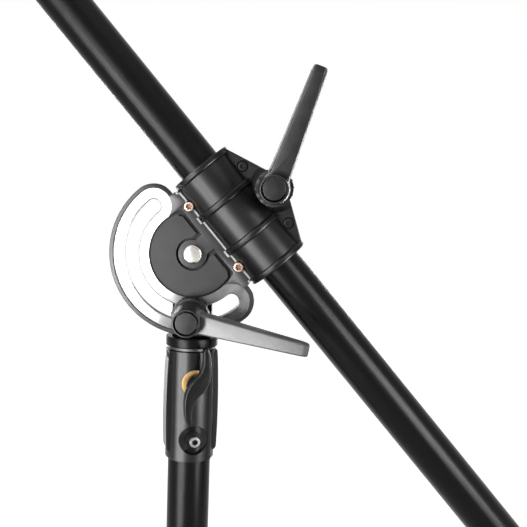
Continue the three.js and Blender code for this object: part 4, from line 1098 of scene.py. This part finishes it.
def extension_collar():
    nose, front, grip = -BOOM_FRONT - 32, -BOOM_FRONT, -BOOM_FRONT + 14
    outer, groove, boss = 22, 21.4, 9
    sleeve = turned(lathe([(0, nose), (outer, nose), (outer, front - 4), (groove, front - 3), (groove, front - 1),
                           (outer, front), (outer, grip), (0, grip)], 96, 1.2), ALONG_X)
    body = join(sleeve, turned(rod(boss, 0, KNOB_BOSS_TOP, 48, 0.6), KNOB))
    return cut(body, turned(rod(BOOM_RADIUS + SLIDE, front - SEAT, grip + OVERRUN, 96), ALONG_X),
               turned(rod(EXTENSION_RADIUS + SLIDE, nose - OVERRUN, grip, 96), ALONG_X),
               turned(rod(KNOB_SCREW_RADIUS + SLIDE, 0, KNOB_BOSS_TOP + OVERRUN, 32), KNOB))


def extension_knob():
    radius, scallop, count, height = 13, 2.2, 6, 12
    seat = KNOB_BOSS_TOP + SEAT
    grip = prism(lobed(radius, scallop, count, 12), seat, seat + height, 1.4, 4)
    return turned(join(grip, rod(KNOB_SCREW_RADIUS, EXTENSION_RADIUS + SEAT, seat + EDGE, 32)), KNOB)


def end_spigot():
    start = -BOOM_FRONT - EXTENSION_PROUD - SEAT
    rim, rim_height, end, length, waist, depth = 15.6, 4, 8, 45, 6.2, 20
    foot, plug = start - rim_height, start + depth
    tip = foot - length
    inside = EXTENSION_RADIUS - TUBE_WALL - SLIDE
    return lathe([
        (0, tip), (end, tip), (end, foot - 30), (waist, foot - 29.2), (waist, foot - 12.8), (end, foot - 12),
        (end, foot), (rim, foot), (rim, start), (inside, start), (inside, plug), (0, plug),
    ], 96, 0.6)


# The assembly
piece("column_plug", column_plug(), COLUMN, "column", "plastic", plastic_black)
piece("column_tube", tube(COLUMN_RADIUS, PLUG_RIM + SEAT, RECEIVER_BOTTOM + COLUMN_SEAT - SEAT), COLUMN, "column",
      "tube", tube_black)
piece("receiver_casting", receiver(), COLUMN, "column", "casting", receiver_black)
on_receiver("brass_insert", brass_insert(), "brass", brass, WING_HEIGHT)
on_receiver("wing_screw", wing_screw(), "casting", wing_black, WING_HEIGHT, "wing")
low = RECESS_FLOOR + SEAT
on_receiver("casting_washer", washer(6.25, CASTING_SCREW_HOLE, low), "black_steel", socket_black, RECESS_HEIGHT)
seat, height = low + WASHER_HEIGHT + SEAT, 5
screw = socket_screw(seat, height, head_radius=4.3, shank_radius=3.1, tip=13, socket=4.3)
zones = socket_zone(screw, (0, 0), radius=2.6, top=seat + height, depth=height / 2)
# The screw's head takes the painted highlight grey, its socket the black steel's colour
piece("casting_screw", moved(screw, y=RECEIVER_BOTTOM + RECESS_HEIGHT), RECEIVER, "column", "black_steel",
      painted_edge_tone, socket_black, zones=zones)

piece("head_yoke", head_yoke(), HEAD, "head", "casting", tube_black)
piece("thrust_washer", thrust_washer(), HEAD, "head", "dark_nylon", nylon_dark)
piece("pivot_bolt", pivot_bolt(), HEAD, "head", "steel", steel)
piece("pivot_washer", washer(9, PIVOT_RADIUS + SEAT, PIVOT_WASHER_BACK), HEAD, "head", "steel", steel)
piece("pivot_nut", nut(13, PIVOT_NUT_BACK, PIVOT_NUT_FRONT, PIVOT_RADIUS + SLIDE), HEAD, "head", "steel", steel)
bolt = hex_bolt(-TONGUE_THICKNESS / 2 - SEAT, LOCK_BASE + THREAD_DEPTH - SEAT)
piece("lock_bolt", moved(bolt, y=-LOCK_RADIUS), HEAD, "head", "steel", steel)
piece("lock_washer", moved(bolt_washer(LOCK_WASHER_RADIUS, PLATE_FLOOR), y=-LOCK_RADIUS), HEAD, "head", "steel", steel)
# The lock lever's arm takes the painted lit grey
lever_set("lock", HEAD, -LOCK_RADIUS, LOCK_BASE, LOCK_ANGLE, lever_painted_lit, cap_black)

plate = sector_plate()
piece("sector_plate", plate, CLAMP, "sector", "plate", plate_grey, band_metal, groove_painted_shade, painted_edge_tone,
      painted_glint, zones=plate_zones(plate))
for side, place in ((-1, "upper"), (1, "lower")):
    screw = plate_screw(side)
    # Each screw's socket takes the painted shade zinc
    zones = socket_zone(screw, (side * PLATE_SCREW_S, PLATE_SCREW_N), PLATE_SOCKET_RADIUS + 0.1,
                        PLATE_FACE + SEAT + PLATE_HEAD_HEIGHT, PLATE_SOCKET_DEPTH)
    piece("plate_screw_" + place, screw, CLAMP, "sector", "zinc", zinc, zinc_painted_shade, zones=zones)
    screw = socket_screw(SPLIT + EAR_THICKNESS - EAR_HEAD_HEIGHT, EAR_HEAD_HEIGHT, head_radius=3.8,
                         shank_radius=EAR_SCREW_RADIUS, tip=-6.7, socket=3.6)
    piece("ear_screw_" + place, moved(screw, side * EAR_SCREW_S, EAR_SCREW_N - BOOM_OFFSET), BOOM, "sector",
          "black_steel", socket_black)
bolt = hex_bolt(BOOM_FORWARD - SPLIT - EAR_THICKNESS - SEAT, CLAMP_BASE + THREAD_DEPTH - SEAT)
piece("clamp_bolt", moved(bolt, y=CLAMP_BOLT_N), CLAMP, "sector", "steel", steel)
piece("clamp_washer", moved(bolt_washer(CLAMP_WASHER_RADIUS, BOSS_TOP), y=CLAMP_BOLT_N), CLAMP, "sector",
      "steel", steel)
# The clamp lever's arm takes the painted shaded grey
lever_set("clamp", CLAMP, CLAMP_BOLT_N, CLAMP_BASE, CLAMP_ANGLE + BOOM_ANGLE, lever_painted_shade, nut_black)
piece("front_clamp_shell", clamp_shell(FRONT_FLANGE, True), BOOM, "sector", "casting", casting_black)
rear = clamp_shell(REAR_FLANGE, False)
rear.data.transform(Matrix.Scale(-1, 4, (0, 0, 1)))
rear.data.flip_normals()
piece("rear_clamp_shell", rear, BOOM, "sector", "casting", casting_black)
piece("clamp_sleeve", clamp_sleeve(), BOOM, "sleeve", "dark_nylon", nylon_dark)

piece("boom_tube", tube(BOOM_RADIUS, -BOOM_FRONT, BOOM_REAR), ALONG, "boom", "tube", tube_black)
piece("rear_cap", rear_cap(), ALONG, "boom", "plastic", plastic_black)
piece("weight_eye", weight_eye(), BOOM, "boom", "steel", steel)
piece("extension_collar", extension_collar(), BOOM, "boom", "plastic", plastic_black)
piece("extension_knob", extension_knob(), BOOM, "knob", "plastic", plastic_black)
start = -BOOM_FRONT - EXTENSION_PROUD
piece("extension_tube", tube(EXTENSION_RADIUS, start, start + EXTENSION_LENGTH), ALONG, "extension", "tube", tube_black)
piece("end_spigot", end_spigot(), ALONG, "extension", "steel", steel)

# The frame's own inner pieces get finishes of the same kind
carried = {
    "pivot_bush": brass, "pivot_friction_washer": nylon_dark, "lock_friction_washer": nylon_dark,
    "lock_retaining_screw": steel, "clamp_retaining_screw": steel, "eye_nut": steel, "guide_bush": nylon_pale,
}
for node, material in carried.items():
    shade(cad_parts[node], [material])

# Floor, light and camera
FLOOR_HEIGHT = -0.45
FLOOR_SIZE = 12
GLOW_NEAR = 0.6
GLOW_FAR = 1.2
GLOW_MIDDLE = 0.4
GLOW_OUTSIDE = 0.65


def background_rays(tree):
    """One for the rays that show the background: seen by the camera, reflected or let through."""
    paths = add_node(tree, "LightPath").outputs
    seen = paths["Is Camera Ray"]
    for kind in ("Is Glossy Ray", "Is Transmission Ray"):
        seen = add_node(tree, "Math", "MAXIMUM", (seen, paths[kind])).outputs[0]
    return seen


def pale_surface(name):
    """A pale diffuse surface that looks white to the camera and in reflections, and keeps shadows near its middle."""
    material = bpy.data.materials.new(name)
    material.use_nodes = True
    tree = material.node_tree
    tree.nodes.clear()
    place = add_node(tree, "TexCoord").outputs["Object"]
    reach = add_node(tree, "VectorMath", "LENGTH", (place,)).outputs["Value"]
    fade = add_node(tree, "MapRange", Value=reach, From_Min=GLOW_NEAR, From_Max=GLOW_FAR,
                    To_Min=GLOW_MIDDLE, To_Max=GLOW_OUTSIDE)
    fade.interpolation_type = "SMOOTHSTEP"
    gain = add_node(tree, "Math", "MULTIPLY", (background_rays(tree), fade.outputs["Result"])).outputs[0]
    diffuse = add_node(tree, "BsdfDiffuse", Color=(0.8, 0.8, 0.8, 1)).outputs[0]
    glow = add_node(tree, "Emission", Strength=gain).outputs[0]
    both = add_node(tree, "AddShader", inputs=(diffuse, glow)).outputs[0]
    add_node(tree, "OutputMaterial", Surface=both)
    return material


bpy.ops.mesh.primitive_plane_add(size=FLOOR_SIZE, location=(0, 0, FLOOR_HEIGHT))
floor = bpy.context.object
floor.name = "floor"
floor.data.materials.append(pale_surface("floor_white"))

world = bpy.data.worlds.new("studio")
scene.world = world
world.use_nodes = True
sky = world.node_tree
background = sky.nodes["Background"]
background.inputs["Color"].default_value = (1, 1, 1, 1)
dim = add_node(sky, "MapRange", Value=background_rays(sky), To_Min=0.5, To_Max=1.0)
sky.links.new(dim.outputs["Result"], background.inputs["Strength"])

LAMP_TARGET = Vector((0.03, 0, 0.41))


def softbox(name, position, width, height, energy, sheen):
    """A plain lamp for colour, and at the same place a brighter one that only polished surfaces show."""
    for kind, power in (("", energy), ("_sheen", sheen)):
        lamp = bpy.data.lights.new(name + kind, "AREA")
        lamp.shape = "RECTANGLE"
        lamp.size, lamp.size_y = width, height
        lamp.energy = power
        obj = linked(name + kind, lamp)
        obj.location = position
        obj.rotation_euler = (LAMP_TARGET - Vector(position)).to_track_quat("-Z", "Y").to_euler()
        obj.visible_glossy = bool(kind)
        obj.visible_diffuse = not kind


# Place, width and height in metres; power in watts of the plain lamp and of its sheen
softbox("left_box", (-0.74, -1.04, 0.41), 0.52, 1.06, 13, 240)
softbox("low_left_box", (-0.74, -1.04, -0.02), 0.4, 0.36, 0.5, 110)
softbox("right_box", (1.13, -0.85, 0.47), 0.3, 0.85, 6, 190)
softbox("top_box", (0.1, -0.3, 1.5), 0.9, 0.6, 8, 30)
softbox("back_left_box", (-0.55, 1.35, 0.5), 0.3, 1.0, 9, 90)
softbox("back_right_box", (0.5, 1.4, 0.35), 0.25, 0.9, 6, 60)

CAMERA_DISTANCE = 0.747
CAMERA_TARGET = Vector((0.0565, 0, 0.4069))
FOCAL_PIXELS = 919.7
FRAME_PIXELS = 527

turn, rise, roll = radians(-0.85), radians(6.4), radians(1.965)
back = Vector((-sin(turn) * cos(rise), -cos(turn) * cos(rise), sin(rise)))
right = Vector((0, 0, 1)).cross(back).normalized()
up = back.cross(right)
rolled_right = right * cos(roll) + up * sin(roll)
rolled_up = up * cos(roll) - right * sin(roll)
lens = bpy.data.cameras.new("camera")
lens.lens = lens.sensor_width * FOCAL_PIXELS / FRAME_PIXELS
camera = linked("camera", lens)
axes = Matrix((rolled_right, rolled_up, back)).transposed().to_4x4()
camera.matrix_world = Matrix.Translation(CAMERA_TARGET + back * CAMERA_DISTANCE) @ axes
scene.camera = camera
scene.view_settings.view_transform = "Standard"
